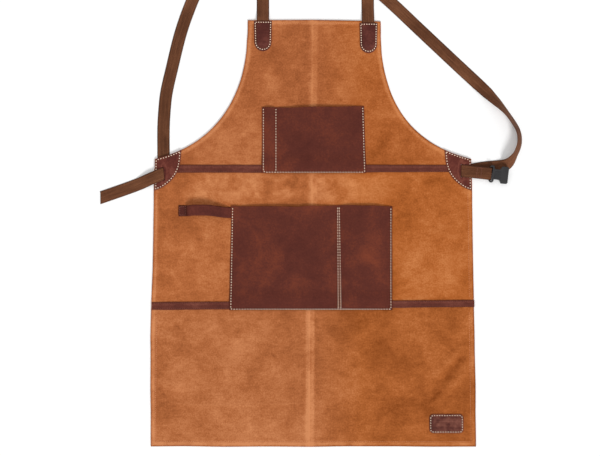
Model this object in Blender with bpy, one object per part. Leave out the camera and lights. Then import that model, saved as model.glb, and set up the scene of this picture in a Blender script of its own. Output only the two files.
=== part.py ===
"""Leather welding apron, laid flat on its back, with its webbing straps spread above it.

Metres, +Z up. The apron lies in the XY plane: +Y points to the bib, +X to the side with the
buckle. The origin is the middle of the waist seam, on the back face that touches the floor.
"""
import math

import bmesh
import bpy
from mathutils import Matrix, Vector

# ---------------------------------------------------------------- driving dimensions
MM = 0.001
BIB_TOP = 300.0 * MM
BIB_HALF = 134.5 * MM
BIB_LEAN = 2.5 * MM
CORNER_HALF = 320.5 * MM
CORNER_Y = 20.0 * MM
WAIST_HALF = 321.5 * MM
HEM_HALF = 330.0 * MM
HEM_Y = -562.0 * MM
THIGH_LEFT_Y = -277.7 * MM
THIGH_RIGHT_Y = -273.2 * MM

LEATHER = 1.6 * MM
TRIM = 1.4 * MM
STRIP = 1.2 * MM
GAP = 0.3 * MM
HEM_SIDE = 12.0 * MM
HEM_ARM = 8.0 * MM
HEM_BOTTOM = 9.0 * MM
HEM_TOP = 10.0 * MM
SEAM_LAP = 12.0 * MM
LAP_THICK = 1.3 * MM
LAP_HALF = 284.0 * MM

FACE_Z = 2.0 * LEATHER
TRIM_Z = FACE_Z + GAP
TRIM_TOP = TRIM_Z + TRIM

WEBBING = 25.0 * MM
WEB_THICK = 1.3 * MM
THREAD = 0.9 * MM
THREAD_HIGH = 0.4 * MM

STRIP_HIGH = 15.5 * MM
OVER_STRIP = STRIP + THREAD_HIGH + 2.0 * GAP
RAMP = 5.0 * MM

SLOT_WIDE = 3.2 * MM
SLOT_LONG = 28.0 * MM
LEFT_SLOT = Vector((-302.3, -9.8, 0.0)) * MM
LEFT_SLOT_TILT = math.radians(5.7)
RIGHT_SLOT = Vector((300.1, -4.0, 0.0)) * MM
TAIL_Z = TRIM_TOP + THREAD_HIGH + 2 * GAP + WEB_THICK / 2

BUCKLE_AT = Vector((358.2, -10.2, 7.1)) * MM
BUCKLE_TURN = math.radians(-6.5)
BUCKLE_PITCH = math.radians(4.0)
BUCKLE_WIDE = 34.4 * MM
BUCKLE_LONG = 39.0 * MM
BUCKLE_HIGH = 10.6 * MM
BAR_R = 1.75 * MM

ARM_START = Vector((137.0, 236.0)) * MM
ARM_HANDLES = (Vector((149.0, 128.0)) * MM, Vector((205.5, 47.5)) * MM)
BIB_SIDE_Y = 270.0 * MM

# Cutters start below everything and end above everything.
BELOW = -1.0 * MM
ABOVE = 12.0 * MM

COLOURS = {
    "suede": ((0.402, 0.130, 0.043), 0.95, 0.0),
    "dark_leather": ((0.118, 0.030, 0.020), 0.55, 0.0),
    "webbing": ((0.118, 0.048, 0.022), 0.9, 0.0),
    "buckle_plastic": ((0.022, 0.020, 0.020), 0.45, 0.0),
    "cream_thread": ((0.62, 0.47, 0.33), 0.8, 0.0),
    "tan_thread": ((0.50, 0.22, 0.09), 0.85, 0.0),
    "brown_thread": ((0.16, 0.05, 0.03), 0.8, 0.0),
}


# ---------------------------------------------------------------- scene and mesh helpers
def clear_scene():
    for thing in list(bpy.data.objects):
        bpy.data.objects.remove(thing, do_unlink=True)


def material(slot):
    found = bpy.data.materials.get(slot)
    if found:
        return found
    colour, rough, metal = COLOURS[slot]
    made = bpy.data.materials.new(slot)
    made.use_nodes = True
    shader = made.node_tree.nodes["Principled BSDF"]
    shader.inputs["Base Color"].default_value = (*colour, 1.0)
    shader.inputs["Roughness"].default_value = rough
    shader.inputs["Metallic"].default_value = metal
    return made


def mesh_object(name, bm, slot=None, smooth=False):
    bmesh.ops.recalc_face_normals(bm, faces=bm.faces)
    mesh = bpy.data.meshes.new(name)
    bm.to_mesh(mesh)
    bm.free()
    thing = bpy.data.objects.new(name, mesh)
    bpy.context.collection.objects.link(thing)
    if slot:
        mesh.materials.append(material(slot))
    if smooth:
        mesh.shade_smooth()
        mesh.set_sharp_from_angle(angle=math.radians(40))
    return thing


def prism(name, outline, low, high, slot=None):
    """A flat plate: an outline in XY between two heights."""
    bm = bmesh.new()
    floor = [bm.verts.new((x, y, low)) for x, y in outline]
    base = bm.faces.new(floor)
    grown = bmesh.ops.extrude_face_region(bm, geom=[base])
    top = [v for v in grown["geom"] if isinstance(v, bmesh.types.BMVert)]
    bmesh.ops.translate(bm, verts=top, vec=(0.0, 0.0, high - low))
    return mesh_object(name, bm, slot)


def cut(target, outline, low, high, kind="DIFFERENCE"):
    """Cut (or join) an outline's prism from the target, with a hidden cutter."""
    number = len(target.modifiers) + 1
    tool = prism(f"{target.name}_cutter_{number}", outline, low, high)
    return boolean(target, tool, kind)


def boolean(target, tool, kind="DIFFERENCE"):
    tool.hide_render = True
    tool.display_type = "WIRE"
    step = target.modifiers.new(f"cut_{len(target.modifiers) + 1}", "BOOLEAN")
    step.operation = kind
    step.solver = "EXACT"
    step.object = tool
    return step


def rectangle(x0, y0, x1, y1):
    return [(x0, y0), (x1, y0), (x1, y1), (x0, y1)]


def turned_box(centre, along, across, angle):
    """A rectangle's corners in XY, turned about its centre."""
    turn = Matrix.Rotation(angle, 2)
    corners = rectangle(-along / 2, -across / 2, along / 2, across / 2)
    return [tuple(turn @ Vector(c) + centre.xy) for c in corners]


def grid_sheet(name, low_points, high_points, slot):
    """A closed sheet from two equal grids of points, its underside and its face."""
    bm = bmesh.new()
    rows, columns = len(low_points), len(low_points[0])
    low = [[bm.verts.new(p) for p in row] for row in low_points]
    high = [[bm.verts.new(p) for p in row] for row in high_points]
    for grid in (low, high):
        for r in range(rows - 1):
            for c in range(columns - 1):
                a, b = grid[r][c], grid[r][c + 1]
                d, e = grid[r + 1][c + 1], grid[r + 1][c]
                bm.faces.new((a, b, d))
                bm.faces.new((a, d, e))
    rim = [(0, c) for c in range(columns)]
    rim += [(r, columns - 1) for r in range(1, rows)]
    rim += [(rows - 1, c) for c in range(columns - 2, -1, -1)]
    rim += [(r, 0) for r in range(rows - 2, 0, -1)]
    for here, there in zip(rim, rim[1:] + rim[:1]):
        corners = (low[here[0]][here[1]], low[there[0]][there[1]])
        bm.faces.new((*corners, high[there[0]][there[1]], high[here[0]][here[1]]))
    return mesh_object(name, bm, slot, smooth=True)


def band_mesh(stations, width, thick, closed=False):
    """A flat band swept through stations of (centre, width direction, thickness direction)."""
    bm = bmesh.new()
    rings = []
    for centre, across, up in stations:
        ring = []
        for side, lift in ((-1, -1), (1, -1), (1, 1), (-1, 1)):
            ring.append(bm.verts.new(centre + across * side * width / 2 + up * lift * thick / 2))
        rings.append(ring)
    pairs = list(zip(rings, rings[1:]))
    if closed:
        pairs.append((rings[-1], rings[0]))
    for near, far in pairs:
        for k in range(4):
            n = (k + 1) % 4
            bm.faces.new((near[k], near[n], far[n], far[k]))
    if not closed:
        bm.faces.new(rings[0][::-1])
        bm.faces.new(rings[-1])
    return bm


def smoothstep(low, high, value):
    t = min(1.0, max(0.0, (value - low) / (high - low)))
    return t * t * (3.0 - 2.0 * t)


def ramp(low, high, value):
    return min(1.0, max(0.0, (value - low) / (high - low)))


def smooth_curve(points, spacing):
    """Points every spacing or so along a Catmull-Rom curve through the given points."""
    ends = [points[0] * 2 - points[1]] + list(points) + [points[-1] * 2 - points[-2]]
    found = []
    for a, b, c, d in zip(ends, ends[1:], ends[2:], ends[3:]):
        steps = max(1, round((c - b).length / spacing))
        for k in range(steps):
            t = k / steps
            found.append(0.5 * (2 * b + (c - a) * t + (2 * a - 5 * b + 4 * c - d) * t ** 2
                                + (3 * b - a - 3 * c + d) * t ** 3))
    found.append(points[-1].copy())
    return found


# ---------------------------------------------------------------- the apron's outline
def lean(y):
    """The bib lies very slightly to the right of the centre line at its top."""
    return BIB_LEAN * smoothstep(0.1 * BIB_TOP, BIB_TOP, y)


def arm_curve(inset=0.0, steps=22):
    """The right edge of the bib, from its top corner down to the waist corner."""
    start, end = ARM_START, Vector((CORNER_HALF, CORNER_Y))
    one, two = ARM_HANDLES
    points = [Vector((BIB_HALF, BIB_TOP)), Vector((BIB_HALF + 0.5 * MM, BIB_SIDE_Y))]
    for k in range(steps + 1):
        t = k / steps
        s = 1.0 - t
        points.append(s ** 3 * start + 3 * s * s * t * one + 3 * s * t * t * two + t ** 3 * end)
    if inset:
        points = inset_line(points, inset)
    return points


def inset_line(points, inset):
    """A line moved to its right-hand side, which on the arm curve is into the leather."""
    moved = []
    for k, point in enumerate(points):
        ahead = points[min(k + 1, len(points) - 1)] - points[max(k - 1, 0)]
        ahead.normalize()
        moved.append(point + Vector((ahead.y, -ahead.x)) * inset)
    return moved


def side_half(y):
    return WAIST_HALF + (HEM_HALF - WAIST_HALF) * y / HEM_Y


def thigh_y(x):
    share = (x + HEM_HALF) / (2 * HEM_HALF)
    return THIGH_LEFT_Y + (THIGH_RIGHT_Y - THIGH_LEFT_Y) * share


def bib_outline(inset=0.0, top=BIB_TOP, low=0.0):
    right = arm_curve(inset)
    right[0].y = top
    sides = [(p.x + lean(p.y), p.y) for p in right]
    left = [(-p.x + lean(p.y), p.y) for p in right]
    edge = sides[-1][0]
    return left[::-1] + sides + [(edge, low), (-edge, low)]


# ---------------------------------------------------------------- body panels
def slot_cutters(target):
    """The slots that the side straps come up through, in whatever lies over them."""
    cut(target, turned_box(RIGHT_SLOT, SLOT_WIDE, SLOT_LONG, 0.0), BELOW, ABOVE)
    cut(target, turned_box(LEFT_SLOT, SLOT_WIDE, SLOT_LONG, LEFT_SLOT_TILT), BELOW, ABOVE)


RELIEF = (280.0 * MM, 345.0 * MM, 45.0 * MM)


def corner_relief(target):
    """No folded hem at the two waist corners, where the webbing passes behind."""
    inner, outer, half = RELIEF
    for side in (-1, 1):
        low, high = sorted((side * inner, side * outer))
        cut(target, rectangle(low, -half, high, half), BELOW, LEATHER)


def bib_panel():
    panel = prism("bib_panel", bib_outline(), 0.0, FACE_Z, "suede")
    cut(panel, bib_outline(HEM_ARM, BIB_TOP - HEM_TOP, -HEM_ARM), BELOW, LEATHER)
    corner_relief(panel)
    slot_cutters(panel)
    return panel


def waist_panel():
    """The middle panel. Its top edge laps behind the bib; the back of that lap is flat."""
    top = -GAP
    low_left, low_right = thigh_y(-HEM_HALF), thigh_y(HEM_HALF)
    half_low = side_half(THIGH_LEFT_Y)
    outline = [(-WAIST_HALF, top), (-half_low, low_left), (half_low, low_right)]
    outline += [(WAIST_HALF, top), (LAP_HALF, top), (LAP_HALF, SEAM_LAP)]
    outline += [(-LAP_HALF, SEAM_LAP), (-LAP_HALF, top)]
    panel = prism("waist_panel", outline, 0.0, FACE_Z, "suede")
    cut(panel, rectangle(-LAP_HALF - MM, top, LAP_HALF + MM, 2 * SEAM_LAP), LAP_THICK, ABOVE)
    top_in, low_in = WAIST_HALF - HEM_SIDE, half_low - HEM_SIDE
    inner = [(-top_in, -SEAM_LAP), (-low_in, low_left - SEAM_LAP)]
    inner += [(low_in, low_right - SEAM_LAP), (top_in, -SEAM_LAP)]
    cut(panel, inner, BELOW, LEATHER)
    corner_relief(panel)
    slot_cutters(panel)
    return panel


def skirt_panel():
    """The lowest panel, lapped behind the middle one at the thigh seam."""
    half_top = side_half(THIGH_LEFT_Y)
    left, right = thigh_y(-HEM_HALF) - GAP, thigh_y(HEM_HALF) - GAP
    lap = half_top - 2 * HEM_SIDE
    lap_left, lap_right = thigh_y(-lap) - GAP, thigh_y(lap) - GAP
    outline = [(-half_top, left), (-HEM_HALF, HEM_Y), (HEM_HALF, HEM_Y), (half_top, right)]
    outline += [(lap, lap_right), (lap, lap_right + SEAM_LAP)]
    outline += [(-lap, lap_left + SEAM_LAP), (-lap, lap_left)]
    panel = prism("skirt_panel", outline, 0.0, FACE_Z, "suede")
    over = [(-lap - MM, lap_left), (lap + MM, lap_right)]
    over += [(lap + MM, lap_right + 3 * SEAM_LAP), (-lap - MM, lap_left + 3 * SEAM_LAP)]
    cut(panel, over, LAP_THICK, ABOVE)
    bottom = HEM_Y + HEM_BOTTOM
    top_in, low_in = half_top - HEM_SIDE, HEM_HALF - HEM_SIDE
    inner = [(-top_in, left - SEAM_LAP), (-low_in, bottom)]
    inner += [(low_in, bottom), (top_in, right - SEAM_LAP)]
    cut(panel, inner, BELOW, LEATHER)
    return panel


# ---------------------------------------------------------------- strips over the seams
# The waist strip butts the two corner patches, which are further apart at its lower edge.
WAIST_STRIP_TOP = 269.0 * MM
WAIST_STRIP_LOW = 274.4 * MM


def waist_strip():
    half = STRIP_HIGH / 2
    outline = [(-WAIST_STRIP_TOP, half), (-WAIST_STRIP_LOW, -half)]
    outline += [(WAIST_STRIP_LOW, -half), (WAIST_STRIP_TOP, half)]
    return prism("waist_strip", outline, TRIM_Z, TRIM_Z + STRIP, "dark_leather")


def thigh_strip():
    half = STRIP_HIGH / 2
    edge = side_half(THIGH_LEFT_Y)
    outline = [(-edge, thigh_y(-edge) - half), (edge, thigh_y(edge) - half)]
    outline += [(edge, thigh_y(edge) + half), (-edge, thigh_y(-edge) + half)]
    return prism("thigh_strip", outline, TRIM_Z, TRIM_Z + STRIP, "dark_leather")


# ---------------------------------------------------------------- pockets
CROWN_ACROSS = 0.7
CROWN_UP = 0.6
POCKET_STEP = 17.0 * MM
POCKET_ROWS = 12


class Pocket:
    """A patch pocket: sewn flat along its rows, crowned between them up to its mouth."""

    def __init__(self, name, corners, rows_at, bottom_row, crowns, seam_top, tuck=None):
        self.name = name
        self.corners = [Vector(c) * MM for c in corners]
        self.rows_at = [(a * MM, b * MM) for a, b in rows_at]
        self.bottom_row = bottom_row * MM
        self.crowns = [c * MM for c in crowns]
        self.seam_top = seam_top
        self.tuck = tuck

    def edge_x(self, v, side):
        low, high = (self.corners[0], self.corners[3]) if side < 0 else self.corners[1:3]
        return low.x + (high.x - low.x) * v

    def edge_y(self, u, v):
        bottom = self.corners[0].y + (self.corners[1].y - self.corners[0].y) * u
        top = self.corners[3].y + (self.corners[2].y - self.corners[3].y) * u
        return bottom + (top - bottom) * v

    def row_x(self, index, v):
        low, high = self.rows_at[index]
        return low + (high - low) * v

    def rest(self, x, y):
        """Height of what the pocket lies on: the panel, the seam strip or the tool loop."""
        seam = self.seam_top + MM
        over = OVER_STRIP * (1.0 - ramp(seam, seam + RAMP, y))
        if self.tuck:
            x1, y0, y1 = self.tuck
            near = 1.0 - ramp(x1, x1 + RAMP, x)
            inside = ramp(y0 - RAMP, y0, y) * (1.0 - ramp(y1, y1 + RAMP, y))
            over = max(over, (TRIM + GAP) * near * inside)
        return TRIM_Z + over

    def crown(self, x, y, v):
        for k, height in enumerate(self.crowns):
            left, right = self.row_x(2 * k, v), self.row_x(2 * k + 1, v)
            if left < x < right:
                across = math.sin(math.pi * (x - left) / (right - left)) ** CROWN_ACROSS
                rise = ramp(self.bottom_row, self.edge_y(0.5, 1.0), y) ** CROWN_UP
                return height * across * rise
        return 0.0

    def low(self, x, y, v):
        return self.rest(x, y) + self.crown(x, y, v)

    def pieces(self, index):
        """How many columns a compartment gets."""
        left, right = self.rows_at[2 * index][0], self.rows_at[2 * index + 1][0]
        return max(6, round((right - left) / POCKET_STEP))

    def columns(self, v):
        """X of each column of the grid at height share v, with lines on every row."""
        rows = [self.row_x(k, v) for k in range(len(self.rows_at))]
        found = [self.edge_x(v, -1)]
        for k in range(len(self.crowns)):
            left, right = rows[2 * k], rows[2 * k + 1]
            pieces = self.pieces(k)
            found += [left + (right - left) * n / pieces for n in range(pieces + 1)]
        found.append(self.edge_x(v, 1))
        return found

    def row_shares(self):
        """Height shares of the grid's rows, with one wherever the pocket steps up."""
        base, top = self.edge_y(0.5, 0.0), self.edge_y(0.5, 1.0)
        seam = self.seam_top + MM
        marks = [self.bottom_row, seam, seam + RAMP]
        if self.tuck:
            _, y0, y1 = self.tuck
            marks += [y0 - RAMP, y0, y1, y1 + RAMP]
        shares = [(mark - base) / (top - base) for mark in marks]
        shares = [share for share in shares if share < 0.995]
        even = [k / POCKET_ROWS for k in range(2, POCKET_ROWS)]
        even = [e for e in even if all(abs(e - s) > 0.03 for s in shares)]
        return sorted([0.0, 1.0] + shares + even)

    def point(self, x, v):
        left, right = self.edge_x(v, -1), self.edge_x(v, 1)
        y = self.edge_y((x - left) / (right - left), v)
        return Vector((x, y, self.low(x, y, v)))

    def build(self):
        thick = Vector((0.0, 0.0, TRIM))
        low = [[self.point(x, v) for x in self.columns(v)] for v in self.row_shares()]
        high = [[point + thick for point in row] for row in low]
        return grid_sheet(self.name, low, high, "dark_leather")

    def thread_row(self, name, points):
        """A line of stitching on the pocket's face, through points of (x, share v)."""
        lift = Vector((0.0, 0.0, TRIM + GAP + THREAD_HIGH / 2))
        return thread(name, [self.point(x, v) + lift for x, v in points])


CHEST = Pocket(
    "chest_pocket",
    corners=[(-103.3, -8.6), (107.3, -8.6), (103.3, 126.0), (-103.3, 124.4)],
    rows_at=[(-100.3, -100.3), (-75.6, -75.6), (-74.4, -74.4), (104.4, 100.4)],
    bottom_row=-5.8, crowns=[7.2, 8.5], seam_top=STRIP_HIGH / 2)
LOWER = Pocket(
    "lower_pocket",
    corners=[(-169.5, -285.6), (160.4, -285.6), (160.4, -75.6), (-165.0, -75.6)],
    rows_at=[(-166.3, -162.4), (50.0, 48.6), (57.6, 54.2), (157.4, 157.4)],
    bottom_row=-282.6, crowns=[9.5, 8.5], seam_top=thigh_y(160.0 * MM) + STRIP_HIGH / 2,
    tuck=(-152.5 * MM, -98.5 * MM, -73.0 * MM))


# ---------------------------------------------------------------- tool loop
LOOP_WIDE = 22.0 * MM
LOOP_LEFT = -272.0 * MM
LOOP_SEWN = -256.6 * MM
LOOP_TUCK = -169.5 * MM
LOOP_RIGHT = -155.0 * MM
LOOP_SKEW = 0.62
LOOP_FULL = 0.75
LOOP_PIECES = 22
LOOP_RISE = 13.0 * MM
LOOP_Y = -85.0 * MM


def loop_low(x):
    """Underside of the tool loop: sewn at its left end, arched, tucked under the pocket."""
    t = ramp(LOOP_SEWN, LOOP_TUCK, x)
    if t in (0.0, 1.0):
        return TRIM_Z
    return TRIM_Z + LOOP_RISE * math.sin(math.pi * t ** LOOP_SKEW) ** LOOP_FULL


def tool_loop():
    xs = [LOOP_LEFT, LOOP_SEWN]
    step = (LOOP_TUCK - LOOP_SEWN) / LOOP_PIECES
    xs += [LOOP_SEWN + step * k for k in range(1, LOOP_PIECES + 1)]
    xs.append(LOOP_RIGHT)
    centres = [Vector((x, LOOP_Y, loop_low(x) + TRIM / 2)) for x in xs]
    stations = []
    for k, centre in enumerate(centres):
        ahead = centres[min(k + 1, len(centres) - 1)] - centres[max(k - 1, 0)]
        ahead.normalize()
        across = Vector((0.0, 1.0, 0.0))
        up = Vector((-ahead.z, 0.0, ahead.x))
        if k in (0, 1, len(centres) - 1, len(centres) - 2):
            up = Vector((0.0, 0.0, 1.0))
        stations.append((centre, across, up))
    return mesh_object("tool_loop", band_mesh(stations, LOOP_WIDE, TRIM), "dark_leather", True)


# ---------------------------------------------------------------- corner patches and tabs
def arc(centre, radius, start, end, steps):
    found = []
    for k in range(steps + 1):
        a = math.radians(start + (end - start) * k / steps)
        found.append((centre[0] + radius * math.cos(a), centre[1] + radius * math.sin(a)))
    return found


PATCH_TOP = (266.0 * MM, 285.0 * MM, 305.0 * MM)
PATCH_LOW = Vector((321.0, -44.5)) * MM
PATCH_HOLLOW = [Vector((303.8, -37.0)) * MM, Vector((286.3, -23.0)) * MM,
                Vector((274.6, -6.6)) * MM, Vector((268.7, 11.8)) * MM]
PATCH_CORNER = 4.0 * MM
CURVE_STEP = 9.0 * MM


def patch_outline(side, inset=0.0):
    """The quarter-round reinforcement at a waist corner; side is -1 left, 1 right."""
    edge = CORNER_HALF - GAP
    points = [Vector((x, arm_height(x))) for x in PATCH_TOP]
    points += [Vector((edge - PATCH_CORNER, CORNER_Y + 0.6 * MM)),
               Vector((edge, CORNER_Y - PATCH_CORNER)), PATCH_LOW.copy()]
    hollow = smooth_curve([PATCH_LOW] + PATCH_HOLLOW + [points[0]], CURVE_STEP)
    points += hollow[1:-1]
    if inset:
        points = inset_loop(points, inset)
    return [(side * p.x, p.y) for p in points]


def arm_height(x):
    """Height of the arm curve at a distance x from the centre line."""
    line = arm_curve(steps=60)
    for a, b in zip(line, line[1:]):
        if a.x <= x <= b.x and b.x > a.x:
            return a.y + (b.y - a.y) * (x - a.x) / (b.x - a.x)
    return CORNER_Y


def inset_loop(points, inset):
    """A clockwise closed outline moved inwards by the same distance everywhere."""
    count = len(points)
    moved = []
    for k, point in enumerate(points):
        before = (point - points[k - 1]).normalized()
        after = (points[(k + 1) % count] - point).normalized()
        one = Vector((before.y, -before.x))
        two = Vector((after.y, -after.x))
        middle = (one + two).normalized()
        moved.append(point + middle * inset / max(0.5, middle.dot(one)))
    return moved


def corner_patch(name, side):
    patch = prism(name, patch_outline(side), TRIM_Z, TRIM_TOP, "dark_leather")
    slot_cutters(patch)
    return patch


TAB_WIDE = 36.5 * MM
TAB_LONG = 61.0 * MM
TAB_TOPS = {-1: Vector((-101.3, 299.0)) * MM, 1: Vector((112.4, 295.0)) * MM}
WEB_UNDER_TAB = 44.0 * MM


def tab_half(drop):
    """Half the tab's width at a distance below its top edge; its end is round."""
    straight = TAB_LONG - TAB_WIDE / 2
    taper = 1.0 - 0.05 * min(1.0, drop / straight)
    if drop <= straight:
        return TAB_WIDE / 2 * taper
    reach = (drop - straight) / (TAB_WIDE / 2)
    return TAB_WIDE / 2 * taper * math.sqrt(max(0.0, 1.0 - reach * reach))


def tab_low(across, drop):
    """Underside of the tab: raised where the webbing's end lies beneath it."""
    over = WEB_THICK + GAP
    side = abs(2.0 * across - 1.0)
    flat = 1.0 - ramp(0.74, 0.88, side)
    length = 1.0 - ramp(WEB_UNDER_TAB + MM, WEB_UNDER_TAB + 5 * MM, drop)
    return TRIM_Z + over * flat * length


def shoulder_tab(name, side):
    top = TAB_TOPS[side]
    columns = (0.0, 0.06, 0.13, 0.5, 0.87, 0.94, 1.0)
    drops = [0.0, 15 * MM, 30 * MM, 42 * MM, WEB_UNDER_TAB + MM, WEB_UNDER_TAB + 5 * MM]
    drops += [TAB_LONG - TAB_WIDE / 2 * (1 - math.sin(math.radians(a))) for a in (35, 50, 65, 78)]
    low, high = [], []
    for drop in drops:
        half = tab_half(drop)
        row_low, row_high = [], []
        for across in columns:
            x = top.x + (2 * across - 1) * half
            z = tab_low(across, drop)
            row_low.append((x, top.y - drop, z))
            row_high.append((x, top.y - drop, z + TRIM))
        low.append(row_low)
        high.append(row_high)
    return grid_sheet(name, low, high, "dark_leather")


# ---------------------------------------------------------------- webbing straps
def strap_frames(route, rolls, base_at):
    """Stations of a strap lying on the floor: roll 0 is flat and 90 degrees is on edge."""
    stations = []
    gone = 0.0
    for k, point in enumerate(route):
        if k:
            gone += (point - route[k - 1]).length
        ahead = (route[min(k + 1, len(route) - 1)] - route[max(k - 1, 0)]).normalized()
        left = Vector((-ahead.y, ahead.x, 0.0))
        roll = math.radians(rolls[k])
        across = left * math.cos(roll) + Vector((0, 0, math.sin(roll)))
        up = -left * math.sin(roll) + Vector((0, 0, math.cos(roll)))
        high = abs(math.sin(roll)) * WEBBING / 2 + abs(math.cos(roll)) * WEB_THICK / 2
        stations.append((Vector((point.x, point.y, high + base_at(point, gone))), across, up))
    return stations


STRAP_END = 120.0 * MM
STRAP_DROP = (BIB_TOP + 2 * MM, BIB_TOP + 26 * MM)


def lift_over_tab(point, gone):
    """The strap's end lies on the bib under its tab, then drops over the top edge."""
    if gone > STRAP_END:
        return 0.0
    return TRIM_Z * (1.0 - smoothstep(*STRAP_DROP, point.y))


CROSSING = Vector((110.4, 376.5)) * MM
CROSSING_REACH = (34.0 * MM, 75.0 * MM)
# The tops of the slots' risers, inside the patches' thickness.
RISER_TOP = TRIM_TOP - 0.1 * MM
SLOT_BEND = 1.1 * MM
# Each route point is x, y in millimetres and the webbing's roll there in degrees.
LEFT_ROUTE = [(-101.3, 255.0, 0), (-101.3, 330.0, 0), (-101.3, 400.0, 0), (-101.2, 445.0, 14),
              (-101.0, 488.0, 64), (-96.5, 518.0, 80), (-82.0, 536.0, 82), (-62.0, 530.0, 80),
              (-44.0, 514.0, 66), (-8.0, 481.5, 20), (30.0, 447.0, 0), (70.0, 411.5, 0),
              (151.9, 341.9, 0), (220.0, 278.0, 0), (284.5, 217.4, 0), (344.3, 161.6, 6),
              (361.5, 144.5, 24), (379.5, 126.0, 44), (393.5, 109.5, 62), (405.5, 92.5, 76),
              (413.6, 78.0, 88), (417.0, 63.5, 97), (416.2, 48.5, 97), (411.5, 35.0, 92),
              (405.0, 23.0, 84), (398.4, 14.0, 66), (391.0, 8.4, 20), (384.0, 6.2, 6), (374.0, 4.8, 0),
              (354.5, 3.2, 0), (336.0, 0.8, 0), (320.0, -2.2, 0), (304.0, -4.0, 0)]
RIGHT_ROUTE = [(112.4, 251.0, 0), (111.0, 330.0, 0), (110.4, 420.0, 0), (110.0, 452.0, 12),
               (106.0, 492.0, 46), (92.0, 542.0, 74), (64.0, 583.0, 80), (24.0, 607.0, 80),
               (-22.0, 611.0, 80), (-68.0, 595.0, 80), (-110.0, 562.0, 72),
               (-147.0, 519.0, 42), (-182.0, 467.0, 10), (-215.0, 405.0, 0),
               (-243.8, 341.9, 0), (-267.3, 277.0, 0), (-286.0, 202.0, 0),
               (-296.6, 155.0, 0), (-300.7, 118.0, 0), (-302.7, 80.0, 0), (-302.7, 30.0, 0),
               (-302.7, -24.0, 0)]


def route_and_roll(entries, side):
    """Smooth points along a strap's route, each with a roll that lifts one side's edge."""
    points = [Vector((x, y, roll)) * MM for x, y, roll in entries]
    curve = smooth_curve(points, CURVE_STEP)
    return [p.xy for p in curve], [side * max(0.0, p.z / MM) for p in curve]


def bend_up_slot(stations, slot_x):
    """Turn the flat end of the right-hand run up through its slot."""
    across = stations[-1][1]
    y = RIGHT_SLOT.y
    centre_z = WEB_THICK / 2 + SLOT_BEND
    for angle in (0, 30, 60, 90):
        a = math.radians(angle)
        ahead = Vector((-math.cos(a), 0.0, math.sin(a)))
        x = slot_x + SLOT_BEND * (1.0 - math.sin(a))
        up = ahead.cross(across).normalized()
        stations.append((Vector((x, y, centre_z - SLOT_BEND * math.cos(a))), across, up))
    at = Vector((slot_x, y, RISER_TOP))
    stations.append((at, across, stations[-1][2]))
    return stations


def left_shoulder_strap():
    """From the left tab round the back to the right-hand slot, crossing over the other."""
    route, rolls = route_and_roll(LEFT_ROUTE, -1)

    def base(point, gone):
        near = (point - CROSSING).length
        hump = (WEB_THICK + GAP) * (1.0 - smoothstep(*CROSSING_REACH, near))
        return max(hump, lift_over_tab(point, gone))

    stations = strap_frames(route, rolls, base)
    stations[-1] = (stations[-1][0], Vector((0.0, -1.0, 0.0)), Vector((0.0, 0.0, 1.0)))
    stations = bend_up_slot(stations, RIGHT_SLOT.x)
    bm = band_mesh(stations, WEBBING, WEB_THICK)
    return mesh_object("left_shoulder_strap", bm, "webbing", True)


def right_shoulder_strap():
    """From the right tab round the back to the left-hand slot."""
    route, rolls = route_and_roll(RIGHT_ROUTE, 1)
    stations = strap_frames(route, rolls, lift_over_tab)
    strap = mesh_object("right_shoulder_strap", band_mesh(stations, WEBBING, WEB_THICK),
                        "webbing", True)
    riser = turned_box(LEFT_SLOT, WEB_THICK, WEBBING, LEFT_SLOT_TILT)
    cut(strap, riser, WEB_THICK / 2, RISER_TOP, "UNION")
    return strap


# ---------------------------------------------------------------- strap tails and buckle
LEFT_TAIL_ROUTE = [(-302.3, -9.8), (-323.6, -18.2), (-346.3, -28.2), (-370.6, -37.6),
                   (-400.0, -48.0), (-430.5, -58.5)]
TAIL_STEP = 6.0 * MM
TAIL_TWIST = 22.0 * MM
TAIL_DROP = (25.0 * MM, 62.0 * MM)
END_SLANT = 1.06


def left_tail():
    """The loose end that comes up through the left slot, over the patch and to the floor."""
    route = smooth_curve([Vector((x, y)) * MM for x, y in LEFT_TAIL_ROUTE], TAIL_STEP)
    slot_way = Vector((math.sin(LEFT_SLOT_TILT), -math.cos(LEFT_SLOT_TILT), 0.0))
    stations, gone = [], 0.0
    for k, point in enumerate(route):
        if k:
            gone += (point - route[k - 1]).length
        ahead = route[min(k + 1, len(route) - 1)] - route[max(k - 1, 0)]
        square = Vector((ahead.y, -ahead.x, 0.0)).normalized()
        square = -square if square.dot(slot_way) < 0 else square
        across = slot_way.lerp(square, smoothstep(0.0, TAIL_TWIST, gone)).normalized()
        z = TAIL_Z + (WEB_THICK / 2 - TAIL_Z) * smoothstep(*TAIL_DROP, gone)
        stations.append((Vector((point.x, point.y, z)), across, Vector((0, 0, 1))))
    last, _, up = stations[-1]
    stations[-1] = (last, Vector((0.0, -END_SLANT, 0.0)), up)
    return mesh_object("left_strap_tail", band_mesh(stations, WEBBING, WEB_THICK), "webbing", True)


def tail_way():
    flat = Vector((BUCKLE_AT.x - RIGHT_SLOT.x, BUCKLE_AT.y - RIGHT_SLOT.y, 0.0))
    return flat.normalized(), flat.length


TACK_START = 31.0 * MM
TACK_END = 40.0 * MM
# How far the tail has risen above its slot at the start and the end of its bar tack.
START_RISE = 1.6 * MM
END_RISE = 2.3 * MM


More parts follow.
